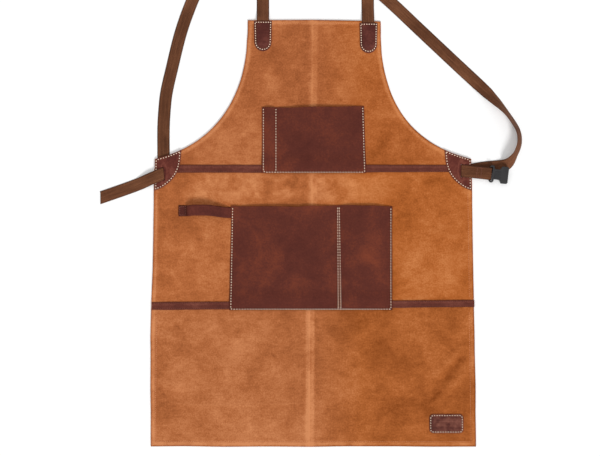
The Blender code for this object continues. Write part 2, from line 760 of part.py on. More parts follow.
def right_tail():
    """From the right slot to the buckle's bar, round it, and back to its bar tack."""
    way, reach = tail_way()
    square = Vector((way.y, -way.x, 0.0))
    bend = BAR_R + GAP + WEB_THICK / 2
    top_z, low_z = BUCKLE_AT.z + bend, BUCKLE_AT.z - bend
    profile = [(0.0, TAIL_Z), (12 * MM, TAIL_Z), (22 * MM, TAIL_Z + START_RISE / 4),
               (TACK_START, TAIL_Z + START_RISE), (TACK_END, TAIL_Z + END_RISE)]
    profile.append((reach - 6 * MM, top_z - 0.2 * MM))
    for angle in range(90, -91, -30):
        a = math.radians(angle)
        profile.append((reach + bend * math.cos(a), BUCKLE_AT.z + bend * math.sin(a)))
    under = WEB_THICK + GAP
    profile.append((reach - 5 * MM, low_z + 0.3 * MM))
    profile.append((TACK_END, TAIL_Z + END_RISE - under))
    profile.append((TACK_START, TAIL_Z + START_RISE - under))
    centres = [RIGHT_SLOT.xy.to_3d() + way * s + Vector((0, 0, z)) for s, z in profile]
    stations = []
    for k, centre in enumerate(centres):
        ahead = (centres[min(k + 1, len(centres) - 1)] - centres[max(k - 1, 0)]).normalized()
        up = ahead.cross(square).normalized()
        if k == 0:
            stations.append((centre, Vector((0.0, -1.0, 0.0)), up))
            continue
        stations.append((centre, square, up))
    return mesh_object("right_strap_tail", band_mesh(stations, WEBBING, WEB_THICK), "webbing", True)


def rounded_outline(x0, y0, x1, y1, radius, steps=4):
    found = arc((x1 - radius, y1 - radius), radius, 0, 90, steps)
    found += arc((x0 + radius, y1 - radius), radius, 90, 180, steps)
    found += arc((x0 + radius, y0 + radius), radius, 180, 270, steps)
    found += arc((x1 - radius, y0 + radius), radius, 270, 360, steps)
    return found


def local_box(name, low, high):
    bm = bmesh.new()
    bmesh.ops.create_cube(bm, size=1.0)
    size = Vector(high) - Vector(low)
    middle = (Vector(high) + Vector(low)) / 2
    bmesh.ops.scale(bm, verts=bm.verts, vec=size)
    bmesh.ops.translate(bm, verts=bm.verts, vec=middle)
    return mesh_object(name, bm)


def buckle_receiver():
    """The female half of a side-release buckle, turned on the bar that its webbing holds."""
    half, high = BUCKLE_WIDE / 2, BUCKLE_HIGH / 2
    back, front = -BAR_R, BUCKLE_LONG - BAR_R
    shape = rounded_outline(back, -half, front, half, 3.0 * MM)
    body = prism("buckle_receiver", shape, -high, high, "buckle_plastic")
    lug = half - 3.2 * MM
    wall, waist, lip = 4.9 * MM, 7.6 * MM, 20.5 * MM
    core = 10.3 * MM
    mouth = 2.9 * MM
    tools = [
        ("mouth", (waist + 3 * MM, -12.5 * MM, -mouth), (front + MM, 12.5 * MM, mouth)),
        ("upper_notch", (waist, core, -high - MM), (lip, half + MM, high + MM)),
        ("lower_notch", (waist, -half - MM, -high - MM), (lip, -core, high + MM)),
        ("gap", (back - MM, -lug, -high - MM), (wall, lug, high + MM)),
    ]
    place = Matrix.Translation(BUCKLE_AT) @ Matrix.Rotation(BUCKLE_TURN, 4, "Z")
    place = place @ Matrix.Rotation(-BUCKLE_PITCH, 4, "Y")
    for label, low, high_corner in tools:
        tool = local_box(f"buckle_{label}_cutter", low, high_corner)
        tool.matrix_world = place
        boolean(body, tool)
    bar = bmesh.new()
    along_y = Matrix.Rotation(math.radians(90), 4, "X")
    bmesh.ops.create_cone(bar, segments=16, radius1=BAR_R, radius2=BAR_R, cap_ends=True,
                          depth=2 * lug + 2 * MM, matrix=along_y)
    bar = mesh_object("buckle_bar_joined", bar)
    bar.matrix_world = place
    boolean(body, bar, "UNION")
    body.matrix_world = place
    return body


# ---------------------------------------------------------------- label and stitching
LABEL = (235.5 * MM, -535.0 * MM, 304.5 * MM, -496.5 * MM)


def label_patch():
    return prism("label_patch", rounded_outline(*LABEL, 8 * MM), TRIM_Z, TRIM_TOP, "dark_leather")


def thread(name, points, slot="cream_thread", closed=False):
    """A line of stitching as one thin band through 3-D points, mitred where it turns."""
    steps = [(b - a).normalized() for a, b in zip(points, points[1:] + points[:1])]
    stations = []
    for k, point in enumerate(points):
        before, after = steps[k - 1], steps[k]
        if not closed and k == 0:
            before = after
        if not closed and k == len(points) - 1:
            after = before
        ahead = before + after
        across = Vector((-ahead.y, ahead.x, 0.0)).normalized()
        stations.append((point, across, Vector((0, 0, 1))))
    return mesh_object(name, band_mesh(stations, THREAD, THREAD_HIGH, closed), slot)


def flat_thread(name, outline, face, slot="cream_thread", closed=False):
    z = face + GAP + THREAD_HIGH / 2
    return thread(name, [Vector((x, y, z)) for x, y in outline], slot, closed)


def pocket_threads(pocket, dividers):
    """A U of stitches round a pocket, and a row for each (name, row index, shift)."""
    shares = pocket.row_shares()[1:]
    last = len(pocket.rows_at) - 1
    inset = 0.9 * MM
    left = [(pocket.row_x(0, v) - inset, v) for v in reversed(shares)]
    right = [(pocket.row_x(last, v) + inset, v) for v in shares]
    pocket.thread_row(f"{pocket.name}_thread", left + right)
    for label, index, shift in dividers:
        start = shares[0] + 0.4 * (shares[1] - shares[0])
        points = [(pocket.row_x(index, v) + shift * MM, v) for v in [start] + shares[1:]]
        pocket.thread_row(label, points)


def tab_thread(name, side):
    top = TAB_TOPS[side]
    inset = 1.9 * MM
    start, straight = 2.6 * MM, TAB_LONG - TAB_WIDE / 2
    across = [0.052, 0.13, 0.3, 0.5, 0.7, 0.87, 0.948]
    points = []
    for share in across:
        x = top.x + (2 * share - 1) * tab_half(start)
        points.append((x, top.y - start, tab_low(share, start)))
    drops = [8 * MM, 15 * MM, 22 * MM, 30 * MM, 38 * MM, straight]
    for drop in drops:
        points.append((top.x + tab_half(drop) - inset, top.y - drop, TRIM_Z))
    radius = tab_half(straight) - inset
    for angle in range(15, 166, 15):
        a = math.radians(angle)
        reach = radius * math.cos(a)
        points.append((top.x + reach, top.y - straight - radius * math.sin(a), TRIM_Z))
    for drop in reversed(drops):
        points.append((top.x - tab_half(drop) + inset, top.y - drop, TRIM_Z))
    lift = TRIM + GAP + THREAD_HIGH / 2
    return thread(name, [Vector((x, y, z + lift)) for x, y, z in points], closed=True)


def strip_threads():
    inset = STRIP_HIGH / 2 - 2.0 * MM
    face = TRIM_Z + STRIP
    edge = side_half(THIGH_LEFT_Y) - 2 * MM
    for label, side in (("upper", 1), ("lower", -1)):
        end = WAIST_STRIP_TOP - 2 * MM if side > 0 else WAIST_STRIP_LOW - 4 * MM
        row = [(-end, side * inset), (end, side * inset)]
        flat_thread(f"waist_strip_{label}_thread", row, face, "brown_thread")
        row = [(-edge, thigh_y(-edge) + side * inset), (edge, thigh_y(edge) + side * inset)]
        flat_thread(f"thigh_strip_{label}_thread", row, face, "brown_thread")


def hem_threads():
    """Rows that hold the folded hems, broken where a patch, tab or strip covers them."""
    line = [p for p in arm_curve(HEM_ARM - 2 * MM) if p.x < 256 * MM]
    line[0] = Vector((line[0].x, BIB_TOP - HEM_TOP + 2 * MM))
    inner_top = line[0].y
    for label, side in (("left", -1), ("right", 1)):
        tab = TAB_TOPS[side]
        start = abs(tab.x - lean(BIB_TOP)) + TAB_WIDE / 2 + 1.2 * MM
        row = [(side * start + lean(BIB_TOP), inner_top)]
        row += [(side * p.x + lean(p.y), p.y) for p in line]
        flat_thread(f"{label}_arm_hem_thread", row, FACE_Z, "tan_thread")
        top, low = PATCH_LOW.y - 5.5 * MM, min(THIGH_LEFT_Y, THIGH_RIGHT_Y) + 18 * MM
        inset = HEM_SIDE - 2 * MM
        row = [(side * (side_half(y) - inset), y) for y in (top, low)]
        flat_thread(f"{label}_waist_hem_thread", row, FACE_Z, "tan_thread")
    gap = TAB_WIDE / 2 + 1.2 * MM
    row = [(TAB_TOPS[-1].x + gap, inner_top), (TAB_TOPS[1].x - gap, inner_top)]
    flat_thread("bib_top_hem_thread", row, FACE_Z, "tan_thread")
    inset = HEM_SIDE - 2 * MM
    top, bottom = THIGH_LEFT_Y - 12 * MM, HEM_Y + HEM_BOTTOM - 1.5 * MM
    row = [(-side_half(top) + inset, top), (-HEM_HALF + inset, bottom)]
    row += [(HEM_HALF - inset, bottom), (side_half(top) - inset, top)]
    flat_thread("skirt_hem_thread", row, FACE_Z, "tan_thread")


def loop_thread():
    """The boxed stitch that holds the tool loop's left end."""
    inset = 2.5 * MM
    half = LOOP_WIDE / 2 - inset
    box = rectangle(LOOP_LEFT + inset, LOOP_Y - half, LOOP_SEWN - 1.5 * MM, LOOP_Y + half)
    flat_thread("tool_loop_thread", box, TRIM_TOP, "brown_thread", closed=True)


def bar_tack():
    """The boxed stitch through both layers of webbing beside the buckle."""
    way, _ = tail_way()
    square = Vector((way.y, -way.x, 0.0))
    lift = WEB_THICK / 2 + THREAD_HIGH / 2 + GAP
    points = []
    for s, t, rise in ((TACK_START, -1, START_RISE), (TACK_END, -1, END_RISE),
                       (TACK_END, 1, END_RISE), (TACK_START, 1, START_RISE)):
        at = RIGHT_SLOT.xy.to_3d() + way * s + square * t * (WEBBING / 2 - 2.5 * MM)
        points.append(at + Vector((0, 0, TAIL_Z + rise + lift)))
    return thread("buckle_bar_tack", points, "brown_thread", closed=True)


def stitching():
    pocket_threads(CHEST, [("chest_divider_thread", 1, 0.6)])
    pocket_threads(LOWER, [("lower_divider_left_thread", 1, 1.2),
                           ("lower_divider_right_thread", 2, -1.2)])
    for label, side in (("left", -1), ("right", 1)):
        outline = patch_outline(side, 2.8 * MM)
        flat_thread(f"{label}_patch_thread", outline, TRIM_TOP, closed=True)
        tab_thread(f"{label}_tab_thread", side)
    x0, y0, x1, y1 = LABEL
    inset = 2.6 * MM
    ring = rounded_outline(x0 + inset, y0 + inset, x1 - inset, y1 - inset, 5.4 * MM)
    flat_thread("label_thread", ring, TRIM_TOP, closed=True)
    strip_threads()
    hem_threads()
    loop_thread()
    bar_tack()


# ---------------------------------------------------------------- the whole apron
def main():
    clear_scene()
    bib_panel()
    waist_panel()
    skirt_panel()
    waist_strip()
    thigh_strip()
    CHEST.build()
    LOWER.build()
    tool_loop()
    corner_patch("left_corner_patch", -1)
    corner_patch("right_corner_patch", 1)
    shoulder_tab("left_shoulder_tab", -1)
    shoulder_tab("right_shoulder_tab", 1)
    left_shoulder_strap()
    right_shoulder_strap()
    left_tail()
    right_tail()
    buckle_receiver()
    label_patch()
    stitching()


main()
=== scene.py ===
"""The looks of a leather welding apron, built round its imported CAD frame.

Everything is in metres in the CAD's own frame: the apron lies on its back in the XY plane, +Y
points to the bib, +X to the side with the buckle, and the origin is the middle of the waist seam.
"""
import math

import bmesh
import bpy
import numpy as np
from mathutils import Matrix, Vector


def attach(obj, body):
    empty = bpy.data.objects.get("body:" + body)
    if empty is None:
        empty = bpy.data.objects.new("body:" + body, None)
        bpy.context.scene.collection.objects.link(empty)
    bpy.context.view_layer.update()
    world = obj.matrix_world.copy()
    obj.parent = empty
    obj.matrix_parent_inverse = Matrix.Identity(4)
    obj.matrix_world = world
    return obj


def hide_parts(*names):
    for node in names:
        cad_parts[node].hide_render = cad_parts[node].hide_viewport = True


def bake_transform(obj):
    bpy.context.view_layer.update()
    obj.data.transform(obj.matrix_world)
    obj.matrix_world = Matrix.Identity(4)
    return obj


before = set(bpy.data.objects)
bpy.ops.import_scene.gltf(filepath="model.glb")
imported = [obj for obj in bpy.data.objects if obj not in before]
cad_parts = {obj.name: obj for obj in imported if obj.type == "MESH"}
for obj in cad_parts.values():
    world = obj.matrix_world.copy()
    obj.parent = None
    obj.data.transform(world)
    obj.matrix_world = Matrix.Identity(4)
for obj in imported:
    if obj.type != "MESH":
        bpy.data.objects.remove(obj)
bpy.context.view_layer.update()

# ---- sizes that the part is built to
MM = 0.001
BIB_TOP, BIB_HALF, BIB_SIDE_Y, BIB_LEAN = 300 * MM, 134.5 * MM, 270 * MM, 2.5 * MM
ARM_START, ARM_ONE, ARM_TWO = (137.0, 236.0), (149.0, 128.0), (205.5, 47.5)
CORNER = (320.5, 20.0)
WAIST_HALF, HEM_HALF, HEM_Y = 321.5 * MM, 330 * MM, -562 * MM
THIGH_LEFT_Y, THIGH_RIGHT_Y = -277.7 * MM, -273.2 * MM
LEATHER, TRIM, GAP = 1.6 * MM, 1.4 * MM, 0.3 * MM
# Heights of the suede's face, and of a dark piece's underside, its top, and its underside where it
# sinks a little so that no gap shows over uneven suede.
FACE_Z, TRIM_Z, TRIM_TOP = 3.2 * MM, 3.5 * MM, 4.9 * MM
TRIM_BACK, EDGE_ROUND = TRIM_Z - 0.25 * MM, 0.7 * MM
HEM_SIDE, HEM_ARM = 12 * MM, 8 * MM
STRIP_HALF, STRIP_THICK = 7.75 * MM, 1.2 * MM
OVER_STRIP, RAMP = 2.2 * MM, 5 * MM
WEBBING, WEB_THICK = 25 * MM, 1.3 * MM
LEFT_SLOT, RIGHT_SLOT = Vector((-302.3, -9.8, 0)) * MM, Vector((300.1, -4.0, 0)) * MM
LEFT_SLOT_TILT = math.radians(5.7)
SLOT_WIDE, SLOT_LONG = 1.9 * MM, 27 * MM
TAIL_Z = 6.55 * MM
BUCKLE_AT = Vector((358.2, -10.2, 7.1)) * MM
BUCKLE_TURN, BUCKLE_PITCH = math.radians(-6.5), math.radians(4.0)
BUCKLE_LONG, BUCKLE_HALF, BUCKLE_HIGH, BAR_R = 39 * MM, 17.2 * MM, 5.3 * MM, 1.75 * MM


# ---- small numeric helpers
def smooth(low, high, value):
    t = np.clip((value - low) / (high - low), 0.0, 1.0)
    return t * t * (3.0 - 2.0 * t)


def linear(low, high, value):
    return np.clip((value - low) / (high - low), 0.0, 1.0)


def bell(value, width):
    return np.exp(-(value / width) ** 2)


CELLS = 64


def noise(x, y, size, seed):
    """Smooth value noise from -1 to 1 with features of about that size."""
    table = np.random.default_rng(seed).random((CELLS, CELLS)) * 2 - 1
    gx, gy = np.asarray(x) / size + 11.3 * seed, np.asarray(y) / size - 7.7 * seed
    ix, iy = np.floor(gx).astype(int), np.floor(gy).astype(int)
    fx, fy = gx - ix, gy - iy
    fx, fy = fx * fx * (3 - 2 * fx), fy * fy * (3 - 2 * fy)

    def at(i, j):
        return table[i % CELLS, j % CELLS]

    low = at(ix, iy) * (1 - fx) + at(ix + 1, iy) * fx
    high = at(ix, iy + 1) * (1 - fx) + at(ix + 1, iy + 1) * fx
    return low * (1 - fy) + high * fy


def inside(share, size):
    """Distance from the nearer end of a length, at shares of that length."""
    return np.minimum(share, 1 - share) * size


def unit(rows):
    return rows / np.linalg.norm(rows, axis=-1)[..., None]


def lengths(chain):
    """How much of a polyline is gone at each of its points."""
    return np.concatenate([[0], np.cumsum(np.linalg.norm(np.diff(chain, axis=0), axis=1))])


def signed_area(points):
    p = np.asarray(points)
    q = np.roll(p, -1, axis=0)
    return float((p[:, 0] * q[:, 1] - q[:, 0] * p[:, 1]).sum()) / 2


def box_distance(x, y, box):
    x0, y0, x1, y1 = box
    dx = np.maximum(np.maximum(x0 - x, x - x1), 0)
    dy = np.maximum(np.maximum(y0 - y, y - y1), 0)
    return np.hypot(dx, dy)


def segment_distance(x, y, a, b):
    """Distance to a segment, and how far along it the nearest point is, 0 to 1."""
    ax, ay, bx, by = a[0] * MM, a[1] * MM, b[0] * MM, b[1] * MM
    dx, dy = bx - ax, by - ay
    t = np.clip(((x - ax) * dx + (y - ay) * dy) / (dx * dx + dy * dy), 0, 1)
    return np.hypot(x - ax - t * dx, y - ay - t * dy), t


def steps_to(length, step, radius):
    """Places from 0 to length: close together within a radius of both ends."""
    near = [0.0, 0.12 * radius, 0.45 * radius, radius, 2.0 * radius]
    inner = length - 2 * near[-1]
    count = max(2, round(inner / step))
    middle = [near[-1] + inner * k / count for k in range(1, count)]
    return np.array(near + middle + [length - n for n in reversed(near)])


def catmull(points, spacing):
    """Points along a Catmull-Rom curve through rows of any number of values."""
    p = np.array(points, float)
    p = np.vstack([2 * p[0] - p[1], p, 2 * p[-1] - p[-2]])
    found = []
    for a, b, c, d in zip(p, p[1:], p[2:], p[3:]):
        count = max(1, round(np.linalg.norm((c - b)[:2]) / spacing))
        for k in range(count):
            t = k / count
            found.append(0.5 * (2 * b + (c - a) * t + (2 * a - 5 * b + 4 * c - d) * t ** 2
                                + (3 * b - a - 3 * c + d) * t ** 3))
    return np.array(found + [p[-2]])


def resample(points, spacing, closed=False):
    """Points the same distance apart along a polyline, with each one's direction."""
    p = np.array(points, float)
    if closed:
        p = np.vstack([p, p[:1]])
    gone = lengths(p)
    count = max(2, round(gone[-1] / spacing))
    at = (np.arange(count) + 0.5) * gone[-1] / count
    reach = spacing * 0.3
    place, ahead, behind = (np.stack([np.interp(spot, gone, p[:, k]) for k in range(3)], axis=1)
                            for spot in (at, at + reach, at - reach))
    return place, unit(ahead - behind)


# ---- the apron's outline
def lean(y):
    """How far the bib leans sideways at a height."""
    return BIB_LEAN * smooth(0.1 * BIB_TOP, BIB_TOP, y)


def arm_points(count=90):
    """The bib's right side and armhole, from its top corner to the waist corner."""
    t = np.linspace(0, 1, count)[:, None]
    a, b, c, d = (np.array(p) * MM for p in (ARM_START, ARM_ONE, ARM_TWO, CORNER))
    curve = (1 - t) ** 3 * a + 3 * (1 - t) ** 2 * t * b + 3 * (1 - t) * t ** 2 * c + t ** 3 * d
    top = np.array([[BIB_HALF, BIB_TOP], [BIB_HALF + 0.5 * MM, BIB_SIDE_Y]])
    return np.vstack([top, curve])


ARM = arm_points()


def arm_x(y):
    """Half the bib's width at a height."""
    return np.interp(y, ARM[::-1, 1], ARM[::-1, 0])


def arm_y(x):
    return np.interp(x, ARM[2:, 0], ARM[2:, 1])


def side_half(y):
    return WAIST_HALF + (HEM_HALF - WAIST_HALF) * y / HEM_Y


def thigh_y(x):
    return THIGH_LEFT_Y + (THIGH_RIGHT_Y - THIGH_LEFT_Y) * (x + HEM_HALF) / (2 * HEM_HALF)


# ---- materials
def srgb(r, g, b):
    """A linear colour from one as a screen shows it, 0 to 255."""
    parts = [v / 255 for v in (r, g, b)]
    return [v / 12.92 if v <= 0.04045 else ((v + 0.055) / 1.055) ** 2.4 for v in parts] + [1.0]


class Look:
    """A node material under construction."""

    def __init__(self, name, rough, sockets):
        self.made = bpy.data.materials.new(name)
        self.made.use_nodes = True
        self.tree = self.made.node_tree
        self.shader = self.tree.nodes["Principled BSDF"]
        self.shader.inputs["Roughness"].default_value = rough
        for label, value in sockets.items():
            self.shader.inputs[label].default_value = value
        self.place = self.node("ShaderNodeTexCoord").outputs["Object"]

    def node(self, kind, links=None, **settings):
        made = self.tree.nodes.new(kind)
        for label, value in settings.items():
            setattr(made, label, value)
        for socket, value in (links or {}).items():
            self.put(made.inputs[socket], value)
        return made

    def put(self, socket, value):
        if isinstance(value, bpy.types.NodeSocket):
            self.tree.links.new(value, socket)
        else:
            socket.default_value = value

    def math(self, kind, a, b=0.0, c=0.0):
        made = self.node("ShaderNodeMath", {0: a, 1: b, 2: c}, operation=kind)
        return made.outputs[0]

    def noise(self, scale, detail=2.0, rough=0.5, stretch=None, source=None, distort=0.0):
        """Noise about 0, from -0.5 to 0.5."""
        place = source or self.place
        if stretch:
            place = self.node("ShaderNodeMapping", {"Vector": place, "Scale": stretch}).outputs[0]
        links = {"Vector": place, "Scale": scale, "Detail": detail, "Roughness": rough,
                 "Distortion": distort}
        return self.math("SUBTRACT", self.node("ShaderNodeTexNoise", links).outputs[0], 0.5)

    def total(self, start, *parts):
        """start plus each (value, share of it)."""
        for value, share in parts:
            start = self.math("MULTIPLY_ADD", value, share, start)
        return start

    def colours(self, value, stops, deeper=0.0):
        """Base colours along a value; deeper is how much more saturated the buckle side is."""
        ramp = self.node("ShaderNodeValToRGB", {"Fac": value})
        line = ramp.color_ramp
        while len(line.elements) < len(stops):
            line.elements.new(0.5)
        for element, (place, colour) in zip(line.elements, stops):
            element.position = place
            element.color = colour
        colour = ramp.outputs[0]
        if deeper:
            across = self.node("ShaderNodeSeparateXYZ", {"Vector": self.place}).outputs[0]
            way = self.node("ShaderNodeMapRange",
                            {"Value": across, "From Min": 0.0, "From Max": 0.1, "To Min": 1.0,
                             "To Max": 1.0 + deeper})
            colour = self.node("ShaderNodeHueSaturation",
                               {"Color": colour, "Saturation": way.outputs[0]}).outputs[0]
        self.put(self.shader.inputs["Base Color"], colour)

    def bump(self, height, strength, distance):
        made = self.node("ShaderNodeBump", {"Height": height, "Strength": strength,
                                            "Distance": distance})
        self.put(self.shader.inputs["Normal"], made.outputs[0])

    def tone(self):
        """The mesh's paler and darker places, its own colour and its painted highlight and shade,
        about a middle of 0.5.
        """
        places = self.node("ShaderNodeAttribute", attribute_name="tone").outputs["Fac"]
        return self.math("MULTIPLY_ADD", places, 0.5, 0.5)


def suede(name, dark, base, pale):
    look = Look(name, 0.95, {"Sheen Weight": 0.08, "Sheen Roughness": 0.5,
                             "Sheen Tint": (1.0, 0.72, 0.5, 1.0), "Specular IOR Level": 0.1})
    wide = look.noise(7, 3, 0.6, distort=1.0)
    cloud = look.noise(20, 5, 0.62, distort=0.6)
    brushed = look.noise(1, 4, 0.62, stretch=(46, 120, 60), distort=0.8)
    blotch = look.noise(95, 4, 0.68, distort=0.4)
    nap = look.noise(330, 4, 0.75)
    value = look.total(look.tone(),
                       (wide, 0.55), (cloud, 0.8), (brushed, 0.5), (blotch, 0.4), (nap, 1.05))
    middle = [(d + b) / 2 for d, b in zip(dark, base)]
    light = [(p + b) / 2 for p, b in zip(pale, base)]
    stops = [(0.0, dark), (0.28, middle), (0.5, base), (0.75, light), (1.0, pale)]
    look.colours(value, stops, deeper=0.035)
    fibres = look.noise(1500, 3, 0.75)
    height = look.total(look.math("MULTIPLY", nap, 0.8), (fibres, 0.6), (blotch, 0.5))
    look.bump(height, 0.55, 0.0009)
    return look.made


def dark_leather(name, dark, base, pale):
    look = Look(name, 0.6, {"Specular IOR Level": 0.1})
    cloud = look.noise(13, 4, 0.6, distort=1.2)
    patch = look.noise(46, 4, 0.6, distort=0.5)
    fine = look.noise(260, 4, 0.75)
    value = look.total(look.tone(),
                       (cloud, 0.8), (patch, 0.6), (fine, 0.95))
    look.colours(value, [(0.0, dark), (0.5, base), (1.0, pale)])
    grain = look.node("ShaderNodeTexVoronoi", {"Vector": look.place, "Scale": 820.0},
                      feature="SMOOTH_F1")
    crumple = look.noise(1, 3, 0.6, stretch=(150, 60, 90), distort=1.5)
    height = look.total(look.math("MULTIPLY", grain.outputs["Distance"], 0.7),
                        (crumple, 0.55), (fine, 0.35))
    look.bump(height, 0.35, 0.0006)
    rough = look.total(0.6, (patch, 0.22), (fine, 0.16))
    look.put(look.shader.inputs["Roughness"], rough)
    return look.made


PICK, RIB = 1.5 * MM, 1.32 * MM


def webbing_look(name, dark, base, pale):
    """Woven webbing, from weave coordinates along and across it in metres."""
    look = Look(name, 0.85, {"Sheen Weight": 0.05, "Sheen Roughness": 0.45,
                             "Specular IOR Level": 0.1})
    weave = look.node("ShaderNodeUVMap", uv_map="weave").outputs[0]
    parts = look.node("ShaderNodeSeparateXYZ", {"Vector": weave}).outputs
    pick = look.math("SINE", look.math("MULTIPLY", parts[0], 2 * math.pi / PICK))
    rib = look.math("SINE", look.math("MULTIPLY", parts[1], 2 * math.pi / RIB))
    check = look.math("MULTIPLY", pick, rib)
    streak = look.noise(1, 3, 0.6, stretch=(24, 900, 1), source=weave)
    worn = look.noise(30, 3, 0.6)
    fuzz = look.noise(900, 2, 0.7)
    value = look.total(look.tone(),
                       (check, 0.3), (rib, 0.1), (streak, 1.1), (worn, 0.5), (fuzz, 0.6))
    look.colours(value, [(0.0, dark), (0.5, base), (1.0, pale)])
    look.bump(look.total(look.math("MULTIPLY", check, 0.4), (rib, 0.22), (fuzz, 0.4)), 0.6, 0.0004)
    return look.made


def thread_look(name, base, pale):
    look = Look(name, 0.7, {"Specular IOR Level": 0.25})
    look.colours(look.total(0.5, (look.noise(180, 2), 0.9)), [(0.2, base), (0.85, pale)])
    look.bump(look.noise(2600, 2, 0.6), 0.4, 0.0003)
    return look.made


def plastic_look(name, base, pale):
    look = Look(name, 0.42, {"Specular IOR Level": 0.45})
    look.colours(look.total(0.35, (look.noise(60, 3), 0.5)), [(0.1, base), (0.9, pale)])
    grain = look.noise(1900, 2, 0.6)
    look.put(look.shader.inputs["Roughness"], look.total(0.42, (grain, 0.2)))
    look.bump(grain, 0.18, 0.0002)
    return look.made


# Each look by its name: how it is made, its material's name, and its colours from dark to pale.
LOOKS = {key: make(name, *(srgb(*colour) for colour in colours)) for key, make, name, *colours in (
    ("bib", suede, "bib_suede", (128, 66, 30), (172, 98, 55), (206, 132, 84)),
    ("waist", suede, "waist_suede", (134, 70, 32), (178, 102, 56), (210, 137, 88)),
    ("skirt", suede, "skirt_suede", (130, 68, 32), (174, 101, 57), (210, 137, 90)),
    ("pocket", dark_leather, "pocket_leather", (74, 31, 25), (93, 43, 33), (122, 58, 38)),
    ("strip", dark_leather, "strip_leather", (70, 31, 25), (98, 48, 38), (130, 74, 60)),
    ("patch", dark_leather, "patch_leather", (70, 30, 26), (98, 46, 37), (132, 74, 60)),
    ("tab", dark_leather, "tab_leather", (62, 27, 23), (84, 40, 34), (118, 64, 54)),
    ("label", dark_leather, "label_leather", (62, 29, 25), (92, 48, 40), (128, 78, 64)),
    ("webbing", webbing_look, "strap_webbing", (60, 33, 21), (98, 59, 38), (138, 90, 62)),
    ("buckle", plastic_look, "buckle_plastic_look", (31, 30, 31), (54, 52, 54)),
    ("cream", thread_look, "cream_thread_look", (246, 212, 182), (255, 236, 214)),
    ("tan", thread_look, "tan_thread_look", (196, 122, 80), (226, 160, 116)),
    ("brown", thread_look, "brown_thread_look", (112, 62, 50), (150, 96, 80)))}
SLOTS = dict.fromkeys(("bib", "waist", "skirt"), "suede")
SLOTS |= dict.fromkeys(("pocket", "strip", "patch", "tab", "label"), "dark_leather")
SLOTS |= {"webbing": "webbing", "cream": "cream_thread", "tan": "tan_thread",
          "brown": "brown_thread"}


# ---- pieces
def linked(name, data):
    made = bpy.data.objects.new(name, data)
    bpy.context.scene.collection.objects.link(made)
    return made


def from_bmesh(name, bm):
    mesh = bpy.data.meshes.new(name)
    bm.to_mesh(mesh)
    bm.free()
    return linked(name, mesh)


def piece(name, points, faces, look, nodes, body="apron", tone=None, weave=None):
    """A smooth mesh in the CAD's frame that stands for those CAD nodes."""
    mesh = bpy.data.meshes.new(name)
    mesh.from_pydata(np.asarray(points, float).tolist(), [], faces)
    mesh.validate()
    mesh.shade_smooth()
    mesh.materials.append(LOOKS[look])
    values = mesh.attributes.new("tone", "FLOAT", "POINT")
    if tone is not None:
        values.data.foreach_set("value", np.asarray(tone, np.float32).ravel())
    if weave is not None:
        layer = mesh.uv_layers.new(name="weave")
        corner = np.zeros(len(mesh.loops), np.int32)
        mesh.loops.foreach_get("vertex_index", corner)
        layer.data.foreach_set("uv", np.asarray(weave, np.float32)[corner].ravel())
    made = linked(name, mesh)
    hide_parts(*nodes)
    if body:
        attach(made, body)
    return made


def sheet_mesh(x, y, top, bottom):
    """Points and faces of a closed sheet from grids that meet along its edge."""
    rows, columns = x.shape
    upper = np.stack([x, y, top], axis=-1).reshape(-1, 3)
    number = np.arange(rows * columns).reshape(rows, columns)
    inner = np.zeros((rows, columns), bool)
    inner[1:-1, 1:-1] = True
    lower_number = number.copy()
    lower_number[inner] = rows * columns + np.arange(inner.sum())
    lower = np.stack([x, y, bottom], axis=-1)[inner]
    faces = []
    for grid, turned in ((number, False), (lower_number, True)):
        a, b = grid[:-1, :-1].ravel(), grid[:-1, 1:].ravel()
        c, d = grid[1:, 1:].ravel(), grid[1:, :-1].ravel()
        order = (a, d, c, b) if turned else (a, b, c, d)
        faces += np.stack(order, axis=1).tolist()
    return np.vstack([upper, lower]), faces, inner


def sheet_piece(name, x, y, top, bottom, look, tone, outward=True):
    points, faces, inner = sheet_mesh(x, y, top, bottom)
    if not outward:
        faces = [f[::-1] for f in faces]
    tone = np.concatenate([tone.ravel(), tone[inner]])
    return piece(name, points, faces, look, [name], tone=tone)


def rounding(distance, radius):
    """Share of the full thickness at a distance from a rounded edge."""
    t = np.clip(distance / radius, 0, 1)
    return np.sqrt(1 - (1 - t) ** 2)


def leather_piece(name, x, y, top, low, edge, look, tone, radius=EDGE_ROUND, outward=True):
    """A sheet between two heights, thinned to a rounded edge; edge is the distance to it."""
    middle, half = (top + low) / 2, (top - low) / 2 * rounding(edge, radius)
    return sheet_piece(name, x, y, middle + half, middle - half, look, tone, outward)


